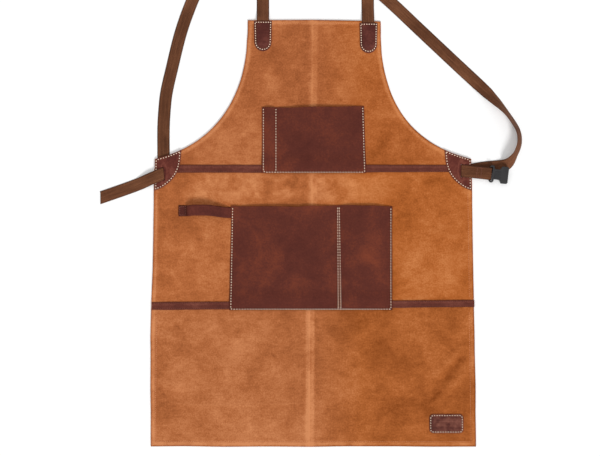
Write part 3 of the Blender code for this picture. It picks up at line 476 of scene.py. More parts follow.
def band(stations, half, thick, rib=0.0, around=24):
    """A closed flat band through (centre, across, up) stations, and its weave coordinates."""
    turn = np.linspace(-1, 1, around + 1)
    edge = 1.0 - 0.5 * thick / half
    side = np.concatenate([[-1.0], turn[1:-1] * edge, [1.0]])
    lift = np.where(np.abs(side) >= 1.0, 0.0, 1.0 + rib * np.cos(math.pi * (around + 1) * turn))
    lift = lift * np.where(np.abs(turn) > 1 - 1.5 / around, 0.8, 1.0)
    ring = np.concatenate([np.stack([side, lift], 1), np.stack([side, -lift], 1)[-2:0:-1]])
    centre, across, up = (np.array([tuple(s[k]) for s in stations]) for k in range(3))
    points = (centre[:, None] + across[:, None] * ring[None, :, :1] * half
              + up[:, None] * ring[None, :, 1:] * thick / 2)
    count, size = len(stations), len(ring)
    weave = np.stack([np.repeat(lengths(centre), size), np.tile(ring[:, 0] * half, count)], axis=1)
    faces = []
    for k in range(count - 1):
        for n in range(size):
            m = (n + 1) % size
            faces.append((k * size + n, k * size + m, (k + 1) * size + m, (k + 1) * size + n))
    last = (count - 1) * size
    for base, flip in ((0, True), (last, False)):
        for n in range(around):
            loop = (base + (size - n) % size, base + size - n - 1, base + n + 1, base + n)
            loop = tuple(dict.fromkeys(loop))
            faces.append(loop[::-1] if flip else loop)
    return points.reshape(-1, 3), faces, weave


def fix_normals(made):
    """Turns a closed mesh's faces outwards."""
    bm = bmesh.new()
    bm.from_mesh(made.data)
    bmesh.ops.recalc_face_normals(bm, faces=bm.faces)
    if bm.calc_volume(signed=True) < 0:
        bmesh.ops.reverse_faces(bm, faces=bm.faces)
    bm.to_mesh(made.data)
    bm.free()
    return made


# A stitch's rings (place along it, size) and how round they are, and how much the stitches vary in
# turn (radians) and length, and bow up in the middle (millimetres).
STITCH_RINGS, STITCH_SIDES = ((-0.78, 0.62), (-0.4, 0.96), (0.4, 0.96), (0.78, 0.62)), 7
STITCH_FLAT, STITCH_TURN, STITCH_VARY, STITCH_BOW = 0.75, 0.07, 0.05, 0.22


def stitch_shape():
    """One stitch's points, from -1 to 1 along and across, and its faces."""
    local = [(-1.0, 0.0, 0.0)]
    for along_it, size in STITCH_RINGS:
        for n in range(STITCH_SIDES):
            a = 2 * math.pi * n / STITCH_SIDES
            local.append((along_it, size * math.cos(a), STITCH_FLAT * size * math.sin(a)))
    local.append((1.0, 0.0, 0.0))
    last, faces = len(local) - 1, []
    for n in range(STITCH_SIDES):
        m = (n + 1) % STITCH_SIDES
        faces.append((0, 1 + m, 1 + n))
        for k in range(len(STITCH_RINGS) - 1):
            a, b = 1 + k * STITCH_SIDES, 1 + (k + 1) * STITCH_SIDES
            faces.append((a + n, a + m, b + m, b + n))
        faces.append((last, last - STITCH_SIDES + n, last - STITCH_SIDES + m))
    return np.array(local), faces


def stitches(name, path, look="cream", body="apron", pitch=5.5, long=2.9, wide=1.95, sink=0.25,
             closed=False, seed=1, node=None):
    """Separate raised stitches, in millimetres, along a line that lies on the leather's face."""
    place, way = resample(path, pitch * MM, closed)
    rng = np.random.default_rng(seed)
    across = unit(np.cross(np.array([0.0, 0.0, 1.0]), way))
    lift = np.cross(way, across)
    turn = rng.normal(0, STITCH_TURN, len(place))[:, None]
    way = way * np.cos(turn) + across * np.sin(turn)
    across = np.cross(lift, way)
    half = long * MM / 2 * (1 + rng.normal(0, STITCH_VARY, len(place)))
    radius = wide * MM / 2
    local, shape = stitch_shape()
    bow = (1 - np.abs(local[:, 0]) ** 2)[None, :, None] * lift[:, None] * STITCH_BOW * MM
    points = (place[:, None] + way[:, None] * local[None, :, :1] * half[:, None, None]
              + across[:, None] * local[None, :, 1:2] * radius
              + lift[:, None] * local[None, :, 2:] * radius + bow
              + lift[:, None] * (0.5 - sink) * radius)
    faces = [tuple(k * len(local) + v for v in f) for k in range(len(place)) for f in shape]
    return fix_normals(piece(f"{name}_stitches", points.reshape(-1, 3), faces, look,
                             [node or f"{name}_thread"], body))


# ---- the face of the leather
# Boxes (x0, y0, x1, y1) under the trim, where the suede stays flat: the pockets, the label, the
# tool loop's sewn end, the corner patches and the shoulder tabs.
CHEST_BOX, LOWER_BOX = (-0.1035, -0.0086, 0.1075, 0.126), (-0.1695, -0.2856, 0.1604, -0.0756)
LABEL = (235.5 * MM, -535.0 * MM, 304.5 * MM, -496.5 * MM)
CALM = [CHEST_BOX, LOWER_BOX, LABEL, (-0.272, -0.097, -0.255, -0.073),
        (-0.322, -0.045, -0.266, 0.036), (0.266, -0.045, 0.322, 0.036),
        (-0.12, 0.238, -0.082, 0.3), (0.094, 0.234, 0.131, 0.3)]
# Each wrinkle in millimetres: its two ends, width and rise, and how much paler (or darker) it is
# painted, as highlight on a raised wrinkle and shade in a sunken one.
WRINKLES = [((311, -374), (284, -408), 8.0, -1.0, -0.5),
            ((292, -402), (248, -448), 7.5, -0.9, -0.4),
            ((303, -362), (236, -432), 9.0, 0.8, 0.4), ((320, -398), (258, -470), 9.0, 0.9, 0.45),
            ((262, -445), (236, -472), 4.0, -0.6, -0.5),
            ((318, -330), (280, -372), 7.0, -0.5, -0.2),
            ((-326, -430), (-250, -447), 9.0, 0.5, 0.2),
            ((-318, -330), (-262, -318), 8.0, -0.5, -0.25), ((205, 60), (262, 14), 8.0, 0.45, 0.2),
            ((-262, 16), (-205, 66), 8.0, -0.45, -0.2), ((-300, -160), (-215, -150), 9.0, 0.5, 0.2),
            ((232, -140), (318, -162), 10.0, -0.5, -0.2)]
RISE, SHADE = 3, 4
# Where a smooth change runs from and to, in metres: the fold's two sides off its line, the top of
# the lowest panel, the blotchy strip's y and x limits, and a hem's paler band and dark edge.
FOLD_LEFT, FOLD_RIGHT, SKIRT_TOP = (-0.0105, -0.003), (0.0128, 0.0082), (-0.262, -0.29)
BLOTCHY_Y, BLOTCHY_X = ((-0.006, -0.02), (-0.078, -0.05)), ((-0.3, -0.2), (0.16, 0.02))
HEM_BAND, HEM_EDGE = ((0.0012, 0.0042), (0.0115, 0.006)), (0.0024, 0.0008)
SIDE_CREASE_Y, SIDE_CREASE_SWAY, CALM_EDGE, SEAM_EDGE = -0.474, 0.004, 0.03, 0.004


def add_wrinkles(total, x, y, column, tip, power):
    """Adds each wrinkle's rise or its painted highlight and shade, which fade towards its ends."""
    for wrinkle in WRINKLES:
        away, t = segment_distance(x, y, *wrinkle[:2])
        fade = np.sin(math.pi * np.clip(t, tip, 1 - tip)) ** power
        total = total + wrinkle[column] * bell(away, wrinkle[2] * MM) * fade
    return total


def crease_x(y):
    """Where the pressed fold down the apron's middle runs."""
    return np.interp(y, [HEM_Y, -0.28, -0.06, 0.1, BIB_TOP],
                     [-0.0085, -0.0075, -0.002, -0.0025, -0.001])


def side_crease(x, y):
    """Distance to the level crease across the lowest panel's left half, and where it shows."""
    return y - SIDE_CREASE_Y - SIDE_CREASE_SWAY * np.sin(x * 9), smooth(-0.012, -0.03, x)


def relief(x, y):
    """How far the suede's face stands above its flat place."""
    calm = np.ones_like(x)
    for box in CALM:
        calm = calm * smooth(0.0, CALM_EDGE, box_distance(x, y, box) - 0.002)
    for seam in (np.zeros_like(x), thigh_y(x)):
        calm = calm * smooth(SEAM_EDGE, CALM_EDGE, np.abs(y - seam))
    rise = 0.8 * noise(x, y, 0.105, 3) + 0.45 * noise(x, y, 0.05, 5) + 0.16 * noise(x, y, 0.019, 7)
    rise = add_wrinkles(rise, x, y, RISE, 0.03, 0.5)
    off = x - crease_x(y)
    rise = rise + 0.6 * bell(off, 0.004) - 0.4 * bell(off - 0.01, 0.007)
    line, shown = side_crease(x, y)
    rise = rise + 0.35 * smooth(-0.31, -0.28, x) * shown * bell(line, 0.003)
    return rise * calm * MM


def suede_tone(x, y, hem, edge_dark):
    """Paler and darker places of the suede, painted highlight and shade on its folds and wrinkles
    among them; hem is the distance to the nearest folded edge.
    """
    off = x - crease_x(y)
    skirt = smooth(*SKIRT_TOP, y)
    flicker = 0.75 + 0.35 * noise(x * 2.0, y, 0.03, 12)
    # The pale band along the middle fold is partly the pressed nap's own colour and partly painted
    # highlight on the fold's ridge, brightest on its crest.
    pressed = smooth(*FOLD_LEFT, off) * smooth(*FOLD_RIGHT, off)
    tone = (0.24 * skirt + 0.5) * pressed * flicker
    tone = tone + (0.6 * bell(off, 0.0022) + 0.12 * (1 - skirt) * bell(off, 0.012)) * flicker
    # A painted highlight on the fold's left slope and painted shade on its right slope.
    tone = (tone + 0.2 * skirt * bell(off + 0.0045, 0.0018)
            - 0.2 * skirt * bell(off - 0.0032, 0.0011))
    # Painted light on the lowest panel: its left half paler and its right half darker, as its sides
    # slope towards and away from the light.
    tone = tone + skirt * (0.08 * smooth(0.0, -0.03, off) - 0.2 * smooth(0.01, 0.07, off))
    line, shown = side_crease(x, y)
    left = smooth(-0.31, -0.27, x) * shown
    # A painted highlight along the level crease's ridge, and a fainter one just above it.
    tone = tone + left * (0.3 * bell(line, 0.0018) + 0.1 * bell(line - 0.006, 0.005))
    # Painted highlight on the raised wrinkles and painted shade in the sunken ones.
    tone = add_wrinkles(tone, x, y, SHADE, 0.06, 0.7)
    blotchy = (smooth(*BLOTCHY_Y[0], y) * smooth(*BLOTCHY_Y[1], y) * smooth(*BLOTCHY_X[0], x)
               * smooth(*BLOTCHY_X[1], x))
    blotches = 0.6 * np.maximum(noise(x, y, 0.022, 21), -0.1) + 0.3 * noise(x, y, 0.009, 22)
    tone = tone + blotchy * (0.12 + blotches)
    tone = tone + 0.26 * noise(x, y, 0.13, 31) + 0.2 * noise(x, y, 0.045, 33)
    dull_hem = (x > 0) & (y < HEM_Y + 0.5) & (y > HEM_Y + 0.012)
    band_on_hem = smooth(*HEM_BAND[0], hem) * smooth(*HEM_BAND[1], hem)
    tone = tone + 1.45 * np.where(dull_hem, 0.22, 0.5) * band_on_hem
    weak_edge = (x < 0) & ~(y < HEM_Y + 0.004)
    return tone - edge_dark * np.where(weak_edge, 0.15, 1.0) * smooth(*HEM_EDGE, hem)


def panel(name, x, y, hem, hem_wide, seam, lap, look, edge_dark):
    """A suede panel: folded double at its hems, single inside, dipped where it laps behind."""
    face = FACE_Z + relief(x, y) * smooth(0.0, 0.02, hem)
    face = face - 0.18 * MM * bell(hem - hem_wide + 2 * MM, 1.2 * MM)
    face = face - 0.2 * MM * smooth(hem_wide - 2 * MM, hem_wide + 12 * MM, hem)
    back = (face - LEATHER) * smooth(hem_wide - 0.5 * MM, hem_wide + 1.5 * MM, hem)
    face = face * (1 - lap) + 1.25 * MM * lap
    back = back * (1 - lap)
    middle, half = (face + back) / 2, (face - back) / 2
    half = half * rounding(hem, 1.5 * MM) * rounding(seam, EDGE_ROUND)
    tone = suede_tone(x, y, hem, edge_dark)
    return sheet_piece(name, x, y, middle + half, middle - half, look, tone)


def columns(width, step=3.4):
    """Shares across a panel, dense at both edges and at the middle crease."""
    base = steps_to(width, step * MM, 1.5 * MM) / width
    dense = 0.5 + np.arange(-13, 14) * 1.3 * MM / width
    keep = base[(base < dense[0] - 1.0 * MM / width) | (base > dense[-1] + 1.0 * MM / width)]
    return np.sort(np.concatenate([keep, dense]))


# Places along the bib's top edge, and how far it lies above its straight line there.
TOP_MARKS = np.array([-134, -80, 0, 50, 100, 134]) * MM
TOP_UNEVEN = np.array([1.0, 1.2, 1.6, 0.9, -0.2, -1.4]) * MM
# Places down the sides below the waist, and how far the left and the right side lie off line there.
SIDE_MARKS = np.array([HEM_Y, -0.463, -0.43, -0.34, -0.285, -0.2])
LEFT_UNEVEN = np.array([1.8, -0.3, -1.0, -2.2, -1.8, 0]) * MM
RIGHT_UNEVEN = np.array([0, 0.8, 1.2, 0.4, 0, 0]) * MM
PANEL_HIGH = 0.285


def waver(y, seed):
    """The slight unevenness of a cut or folded edge."""
    return 0.55 * MM * noise(y, y * 0, 0.06, seed) + 0.25 * MM * noise(y, y * 0, 0.021, seed + 1)


def bib():
    """The bib: rows close together at its seam and top, and at the armhole curve's own points."""
    low = list(np.array([0.0, 0.1, 0.35, 0.8, 2.0, 5.0, 8.5, 12, 15.5, 18.2]) * MM)
    curve = ARM[2:][::-1, 1]
    kept = [curve[0]]
    for here in curve[1:]:
        if here - kept[-1] > 0.9 * MM or here == curve[-1]:
            kept.append(here)
    top = list(np.linspace(kept[-1] + 3.2 * MM, BIB_TOP - 4.5 * MM, 18))
    top += list(BIB_TOP - np.array([3.0, 1.5, 0.68, 0.18, 0.0]) * MM)
    level = y = np.array(low + kept + top)[:, None]
    share = columns(2 * CORNER[0] * MM)
    spread = share[None, :] * 2 - 1
    half = arm_x(np.minimum(y, BIB_TOP))
    x = spread * half + lean(y)
    slope = np.gradient(half[:, 0], y[:, 0])
    square = 1 / np.sqrt(1 + slope ** 2)
    sides = np.minimum(share, 1 - share)[None, :] * 2 * half * square[:, None]
    y = y + 0 * x
    y = y + np.interp(x, TOP_MARKS, TOP_UNEVEN) * smooth(0.18, 0.3, y)
    x = x + spread ** 8 * waver(y, 41) * smooth(0, 0.04, y)
    hem = np.minimum(sides, BIB_TOP - level)
    made = panel("bib_panel", x, y, hem, HEM_ARM, y, np.zeros_like(x), "bib", 0.5)
    return made


def lower_panel(name, top_line, low_line, lap_half, hem_low, look, edge_dark):
    """The middle or the lowest panel, between two lines given as functions of x."""
    share = columns(2 * HEM_HALF)
    v = steps_to(PANEL_HIGH, 3.6 * MM, 1.5 * MM) / PANEL_HIGH
    lap_rows = np.array([0.6, 1.3, 2.4, 4.0, 7.0, 10.0, 11.3, 11.8, 12.0]) * MM
    spread = share[None, :] * 2 - 1
    x = spread * side_half(np.full((len(v), 1), 0.0)) + 0 * v[:, None]
    for _ in range(3):
        y = low_line(x) + (top_line(x) - low_line(x)) * v[:, None]
        x = spread * side_half(y)
    seam_top = top_line(x[-1])
    rows_y = np.stack([seam_top + d for d in lap_rows])
    lap_x = spread * np.where(lap_rows[:, None] > 2 * MM, lap_half, side_half(seam_top[None, :]))
    edge = inside(share, 1)[None, :]
    hem = edge * 2 * side_half(y)
    x = x + spread ** 9 * waver(y, 51)
    for side, moved in ((-spread, LEFT_UNEVEN), (spread, RIGHT_UNEVEN)):
        x = x + np.maximum(side, 0) ** 4 * np.interp(y, SIDE_MARKS, moved)
    if hem_low:
        hem = np.minimum(hem, y - low_line(x))
        y = y + 0.9 * MM * noise(x, x * 0, 0.085, 57) * smooth(HEM_Y + 0.08, HEM_Y, y)
    lap = smooth(-6.5 * MM, -0.8 * MM, y - top_line(x))
    x_all, y_all = np.vstack([x, lap_x]), np.vstack([y, rows_y])
    hem_all = np.vstack([hem, 0.05 + 0 * lap_x])
    lap_all = np.vstack([lap, 1 + 0 * lap_x])
    seam = 12 * MM - (y_all - top_line(x_all))
    on_lap = np.vstack([0 * x, 1 + 0 * lap_x]) > 0
    seam = np.minimum(seam, np.where(on_lap, edge * 2 * lap_half, 1.0))
    if not hem_low:
        seam = np.minimum(seam, y_all - low_line(x_all))
    return panel(name, x_all, y_all, hem_all, HEM_SIDE, seam, lap_all, look, edge_dark)


def lower_panels():
    half_low = float(side_half(THIGH_LEFT_Y))
    waist = lower_panel("waist_panel", lambda x: 0 * x - GAP, thigh_y, 0.284, False, "waist", 0.6)
    skirt = lower_panel("skirt_panel", lambda x: thigh_y(x) - GAP, lambda x: 0 * x + HEM_Y,
                        half_low - 2 * HEM_SIDE, True, "skirt", 0.9)
    return waist


# ---- strips over the seams
STRIP_ROW = 5.75 * MM


def waist_y(x):
    return 0 * x


def strip(name, top_end, low_end, line):
    """A narrow strip of dark leather along a seam, given half its upper and its lower edge."""
    long = steps_to(2 * low_end, 5 * MM, 0.6 * MM) / (2 * low_end)
    v = (steps_to(2 * STRIP_HALF, 1.1 * MM, 0.6 * MM) / (2 * STRIP_HALF))[:, None]
    right = low_end + (top_end - low_end) * v
    x = -right + 2 * right * long[None, :]
    narrow = smooth(0.0, 0.28, x)
    middle = line(x) + 0.35 * MM * noise(x, x * 0, 0.05, 61) + 0.5 * MM * narrow
    uneven = 0.3 * MM * noise(x, v * 0.03 + 0 * x, 0.02, 63)
    y = middle + (v * 2 - 1) * (STRIP_HALF - 0.8 * MM * narrow + uneven)
    edge = np.minimum(inside(v, 2 * STRIP_HALF), inside(long, 2 * low_end)[None, :])
    row = np.abs(np.abs(v * 2 - 1) * STRIP_HALF - STRIP_ROW)
    puff = 0.25 * MM * (1 - (v * 2 - 1) ** 2) - 0.28 * MM * bell(row, 0.7 * MM)
    top = TRIM_Z + STRIP_THICK + puff + 0.12 * MM * noise(x, y, 0.015, 65)
    # The pale band across the strip's upper part is a painted satin highlight.
    tone = (0.36 * smooth(0.5, 0.66, v) * smooth(0.9, 0.78, v) - 0.1 - 0.25 * smooth(0.12, 0.0, v)
            - 0.3 * bell(row, 0.6 * MM) + 0.25 * noise(x, y, 0.03, 67))
    made = leather_piece(name, x, y, top, TRIM_BACK, edge, "strip", tone, 0.6 * MM)


def strips():
    """Both strips, each with a row of brown thread along either edge."""
    half = float(side_half(THIGH_LEFT_Y))
    strip("waist_strip", 0.269, 0.2744, waist_y)
    strip("thigh_strip", half + 0.9 * MM, half + 0.9 * MM, thigh_y)
    face = TRIM_Z + STRIP_THICK + 0.02 * MM
    for label, side, reach in (("upper", 1, 0.267), ("lower", -1, 0.2704)):
        for seam, line, end, seed in (("waist", waist_y, reach, 71),
                                      ("thigh", thigh_y, half - 2 * MM, 75)):
            row = [(x, line(x) + side * STRIP_ROW, face) for x in (-end, end)]
            stitches(f"{seam}_strip_{label}", row, "brown", pitch=4.4, long=3.0, wide=0.9,
                     sink=0.5, seed=seed + side)


# ---- pockets
ROW_DROP = 1.2 * MM


class Pocket:
    """A patch pocket, sewn flat along its rows and standing open between them at its mouth.

    In millimetres: corners from the lower left one round to the upper left, rows as x at the lower
    and the upper edge, shifts of each row's thread beside its line, the bottom row's y, how far the
    parts between rows bulge, and how far the mouth's edge lies off its straight line.
    """

    def __init__(self, corners, rows, shifts, bottom_row, crowns, seam_top, tuck, mouth):
        self.corners, self.rows, self.shifts, self.crowns, self.mouth = (
            np.array(part) * MM for part in (corners, rows, shifts, crowns, mouth))
        self.bottom_row, self.seam_top, self.tuck = bottom_row * MM, seam_top, tuck

    def edge_x(self, v, side):
        low, high = (0, 3) if side < 0 else (1, 2)
        a, b = self.corners[low, 0], self.corners[high, 0]
        return a + (b - a) * v

    def edge_y(self, u, v):
        c = self.corners
        bottom = c[0, 1] + (c[1, 1] - c[0, 1]) * u
        top = c[3, 1] + (c[2, 1] - c[3, 1]) * u
        return bottom + (top - bottom) * v

    def row_x(self, index, v):
        low, high = self.rows[index]
        return low + (high - low) * v

    def rest(self, x, y):
        """Height of what the pocket lies on: the suede, a strip, or the tool loop's tucked end."""
        seam = self.seam_top + MM
        over = OVER_STRIP * (1 - smooth(seam - MM, seam + 5 * RAMP, y))
        if self.tuck:
            x1, y0, y1 = self.tuck
            held = smooth(y0 - RAMP, y0, y) * (1 - smooth(y1, y1 + RAMP, y))
            over = np.maximum(over, (TRIM + GAP) * (1 - smooth(x1, x1 + RAMP, x)) * held)
        return TRIM_Z + over

    def crown(self, x, y, v):
        total = np.zeros_like(x)
        rise = linear(self.bottom_row, self.edge_y(0.5, 1.0), y) ** 0.75
        for k, high in enumerate(self.crowns):
            left, right = self.row_x(2 * k, v), self.row_x(2 * k + 1, v)
            across = np.sin(math.pi * linear(left, right, x)) ** 0.85
            ripple = 1 + 0.14 * noise(x * 1.0, y * 0.25, 0.03, 81 + k) * smooth(0.55, 1.0, v)
            total = total + 0.45 * high * across * rise * ripple
        return total

    def at(self, x, v):
        """A place on the pocket's underside."""
        left, right = self.edge_x(v, -1), self.edge_x(v, 1)
        y = self.edge_y((x - left) / (right - left), v)
        lift = np.interp(x, self.mouth[:, 0], self.mouth[:, 1]) * v ** 6
        return x, y + lift, self.rest(x, y) + self.crown(x, y, v)

    def build(self, name, tone_of):
        width = float(self.corners[1, 0] - self.corners[0, 0])
        height = float(self.edge_y(0.5, 1.0) - self.edge_y(0.5, 0.0))
        share = steps_to(width, 2.6 * MM, EDGE_ROUND) / width
        v = (steps_to(height, 3.0 * MM, EDGE_ROUND) / height)[:, None]
        left, right = self.edge_x(v, -1), self.edge_x(v, 1)
        x = left + (right - left) * share[None, :]
        v = v + 0 * x
        x, y, low = self.at(x, v)
        x = x + (share[None, :] * 2 - 1) ** 9 * 0.4 * MM * noise(y, y * 0, 0.035, 85)
        groove = np.zeros_like(x)
        for k in range(len(self.rows)):
            groove = groove + bell(x - self.row_x(k, v) - self.shifts[k], 1.0 * MM)
        groove = np.minimum(groove + bell(y - self.bottom_row + ROW_DROP, 1.0 * MM), 1.0)
        soft = (0.35 * MM * noise(x, y, 0.04, 83) * smooth(0.03, 0.2, v)
                + 0.12 * MM * noise(x, y, 0.012, 84))
        top = low + TRIM - 0.3 * MM * groove + np.maximum(soft, -0.2 * MM)
        edge = np.minimum(inside(v, height), inside(share, width)[None, :])
        tone = tone_of(x, y, v) - 0.35 * groove + 0.25 * smooth(0.0022, 0.0009, edge) * (v > 0.5)
        made = leather_piece(name, x, y, top, low, edge, "pocket", tone)

    def outer_row(self):
        """The row down the left side, along the bottom and up the right, and shares of height."""
        v = np.linspace(0.012, 0.985, 60)
        foot, head = self.corners[0, 1], self.corners[3, 1]
        base = float((self.bottom_row - ROW_DROP - foot) / (head - foot))
        v = v[v > base]
        left = [(self.row_x(0, t), t) for t in v[::-1]]
        right = [(self.row_x(len(self.rows) - 1, t), t) for t in v]
        xs = np.linspace(left[-1][0] + 4 * MM, right[0][0] - 3 * MM, 60)
        return left + [(x, base) for x in xs] + right, v

    def sew(self, name, places, seed):
        x, v = np.array(places).T
        px, py, pz = self.at(x, v)
        stitches(name, np.stack([px, py, pz + TRIM - 0.15 * MM], axis=1), seed=seed)


CHEST = Pocket([(-103.3, -8.6), (107.3, -8.6), (103.3, 126.0), (-103.3, 124.4)],
               [(-100.3, -100.3), (-75.6, -75.6), (-74.4, -74.4), (104.4, 100.4)],
               [0, 0.6, -0.6, 0], -5.8, [7.2, 8.5], STRIP_HALF, None,
               [(-103, 0.2), (-70, -0.4), (-45, -1.2), (-15, 0.0), (10, 0.5), (40, -0.3), (70, 0.6),
                (103, 1.0)])
LOWER = Pocket([(-169.5, -285.6), (160.4, -285.6), (160.4, -75.6), (-165.0, -75.6)],
               [(-166.3, -162.4), (50.0, 48.6), (57.6, 54.2), (157.4, 157.4)],
               [0, 1.2, -1.2, 0], -282.6, [9.5, 8.5], float(thigh_y(0.160)) + STRIP_HALF,
               (-152.5 * MM, -98.5 * MM, -73.0 * MM),
               [(-165, 0.8), (-153, -0.2), (-77, -0.2), (-50, -0.6), (-36, -1.2), (-25, -0.6),
                (-14, 0.6), (-1, 1.4), (6, 0.7), (14, 0.5), (25, 0.9), (39, 1.2), (50, 1.8),
                (75, 2.3), (100, 1.4), (125, 1.6), (143, 0.2), (160, -0.4)])


def chest_tone(x, y, v):
    tone = 0.3 * noise(x, y, 0.06, 91) + 0.15 * noise(x, y, 0.02, 92)
    return tone + 0.25 * smooth(0.12, 0.0, v) - 0.12 * bell(x + 0.03, 0.04)


def lower_tone(x, y, _):
    """Blotches, and four warmer places given as (x, its width, y, its width)."""
    tone = 0.28 * noise(x, y, 0.09, 93) + 0.16 * noise(x, y, 0.028, 94)
    warm = 0.0
    for px, wide, py, high in ((0.035, 0.018, -0.17, 0.06), (-0.03, 0.03, -0.25, 0.035),
                               (-0.12, 0.03, -0.2, 0.05), (0.12, 0.02, -0.19, 0.07)):
        warm = warm + bell(x - px, wide) * bell(y - py, high)
    return tone + 0.3 * warm


def pockets():
    CHEST.build("chest_pocket", chest_tone)
    LOWER.build("lower_pocket", lower_tone)
    seed = 101
    for pocket, outer, dividers in (
            (CHEST, "chest_pocket", [("chest_divider", 1)]),
            (LOWER, "lower_pocket", [("lower_divider_left", 1), ("lower_divider_right", 2)])):
        line, v = pocket.outer_row()
        pocket.sew(outer, line, seed)
        for name, row in dividers:
            seed += 1
            pocket.sew(name, [(pocket.row_x(row, t) + pocket.shifts[row], t) for t in v], seed)
        seed += 1


# ---- tool loop
LOOP_LEFT, LOOP_SEWN, LOOP_TUCK, LOOP_RIGHT = -272 * MM, -256.6 * MM, -169.5 * MM, -155 * MM
LOOP_Y, LOOP_HALF, LOOP_RISE = -85 * MM, 11 * MM, 13 * MM


def tool_loop():
    """A strap sewn down at its left end, arched, and tucked under the lower pocket."""
    xs = np.concatenate([np.linspace(LOOP_LEFT, LOOP_SEWN, 9)[:-1],
                         np.linspace(LOOP_SEWN, LOOP_TUCK, 44)[:-1],
                         np.linspace(LOOP_TUCK, LOOP_RIGHT, 6)])
    t = linear(LOOP_SEWN, LOOP_TUCK, xs)
    arch = LOOP_RISE * np.sin(math.pi * t ** 0.62) ** 0.75
    arch[(t <= 0) | (t >= 1)] = 0
    sag = 1.2 * MM * smooth(0.0, 0.2, t) - 4.8 * MM * smooth(0.45, 1.0, t)
    centre = np.stack([xs, LOOP_Y + sag, TRIM_Z + TRIM / 2 + arch], axis=1)
    ahead = np.gradient(centre, axis=0)
    ahead[t <= 0] = (1, 0, 0)
    ahead[-2:] = (1, 0, 0)
    ahead = unit(ahead)
    stations = [(c, (0, 1, 0), (-a[2], 0, a[0])) for c, a in zip(centre, ahead)]
    points, faces, _ = band(stations, LOOP_HALF, TRIM)
    x, y = points[:, 0], points[:, 1]
    tone = 0.3 * noise(x, y, 0.02, 111) - 0.2 - 0.7 * bell(x + 0.2575, 0.0022)
    tone = tone - 0.35 * smooth(LOOP_SEWN, LOOP_SEWN - 2 * MM, x)
    made = fix_normals(piece("tool_loop", points, faces, "patch", ["tool_loop"], tone=tone))
    x0, x1 = LOOP_LEFT + 2.5 * MM, LOOP_SEWN - 1.5 * MM
    y0, y1 = LOOP_Y - 8.5 * MM, LOOP_Y + 8.5 * MM
    box = [(x, y, TRIM_TOP) for x, y in ((x0, y0), (x1, y0), (x1, y1), (x0, y1))]
    stitches("tool_loop", box, "brown", pitch=4.4, long=2.7, wide=1.3, closed=True, seed=112)


# ---- corner patches
PATCH_EDGE, PATCH_ROW, PATCH_ENDS = 320.2 * MM, 2.8 * MM, 0.11


def patch_chains():
    """The patch's outer edge and its hollow inner edge, both from the bib to the hem side."""
    outer = [(x, float(arm_y(x))) for x in np.linspace(266, 313, 24) * MM]
    outer += [(316.2 * MM, 20.6 * MM), (318.6 * MM, 19.2 * MM), (PATCH_EDGE, 16.0 * MM)]
    outer += [(PATCH_EDGE + 0.8 * MM * k / 12, (16.0 - 60.5 * k / 12) * MM) for k in range(1, 13)]
    marks = [(outer[0][0] / MM, outer[0][1] / MM), (268.7, 11.8), (274.6, -6.6), (286.3, -23.0),
             (303.8, -37.0), (321.0, -44.5)]
    return np.array(outer), catmull(np.array(marks) * MM, 2 * MM)


def along(chain, shares):
    gone = lengths(chain)
    at = shares * gone[-1]
    return np.stack([np.interp(at, gone, chain[:, k]) for k in range(2)], axis=1)


def slot_tool(name, centre, tilt, low, high, count=24):
    """A rounded upright cutter for a slot."""
    bm = bmesh.new()
    half, reach = SLOT_WIDE / 2, SLOT_LONG / 2
    turn = Matrix.Rotation(tilt, 2)
    spots = []
    for n in range(count):
        a = 2 * math.pi * n / count
        y = (reach - half) * (1 if math.sin(a) >= 0 else -1) + half * math.sin(a)
        spots.append(turn @ Vector((half * math.cos(a), y)) + centre.xy)
    floor, roof = ([bm.verts.new((p.x, p.y, z)) for p in spots] for z in (low, high))
    bm.faces.new(floor[::-1])
    bm.faces.new(roof)
    for n in range(count):
        m = (n + 1) % count
        bm.faces.new((floor[n], floor[m], roof[m], roof[n]))
    return from_bmesh(name, bm)


def cut_through(target, tool, kind="DIFFERENCE", solver="EXACT"):
    """Applies a Boolean at once and removes its tool."""
    step = target.modifiers.new("cut", "BOOLEAN")
    step.operation, step.solver, step.object = kind, solver, tool
    bpy.context.view_layer.update()
    shown = target.evaluated_get(bpy.context.evaluated_depsgraph_get())
    mesh = bpy.data.meshes.new_from_object(shown)
    target.modifiers.clear()
    old = target.data
    target.data = mesh
    mesh.name = old.name
    bpy.data.meshes.remove(old)
    bpy.data.objects.remove(tool)


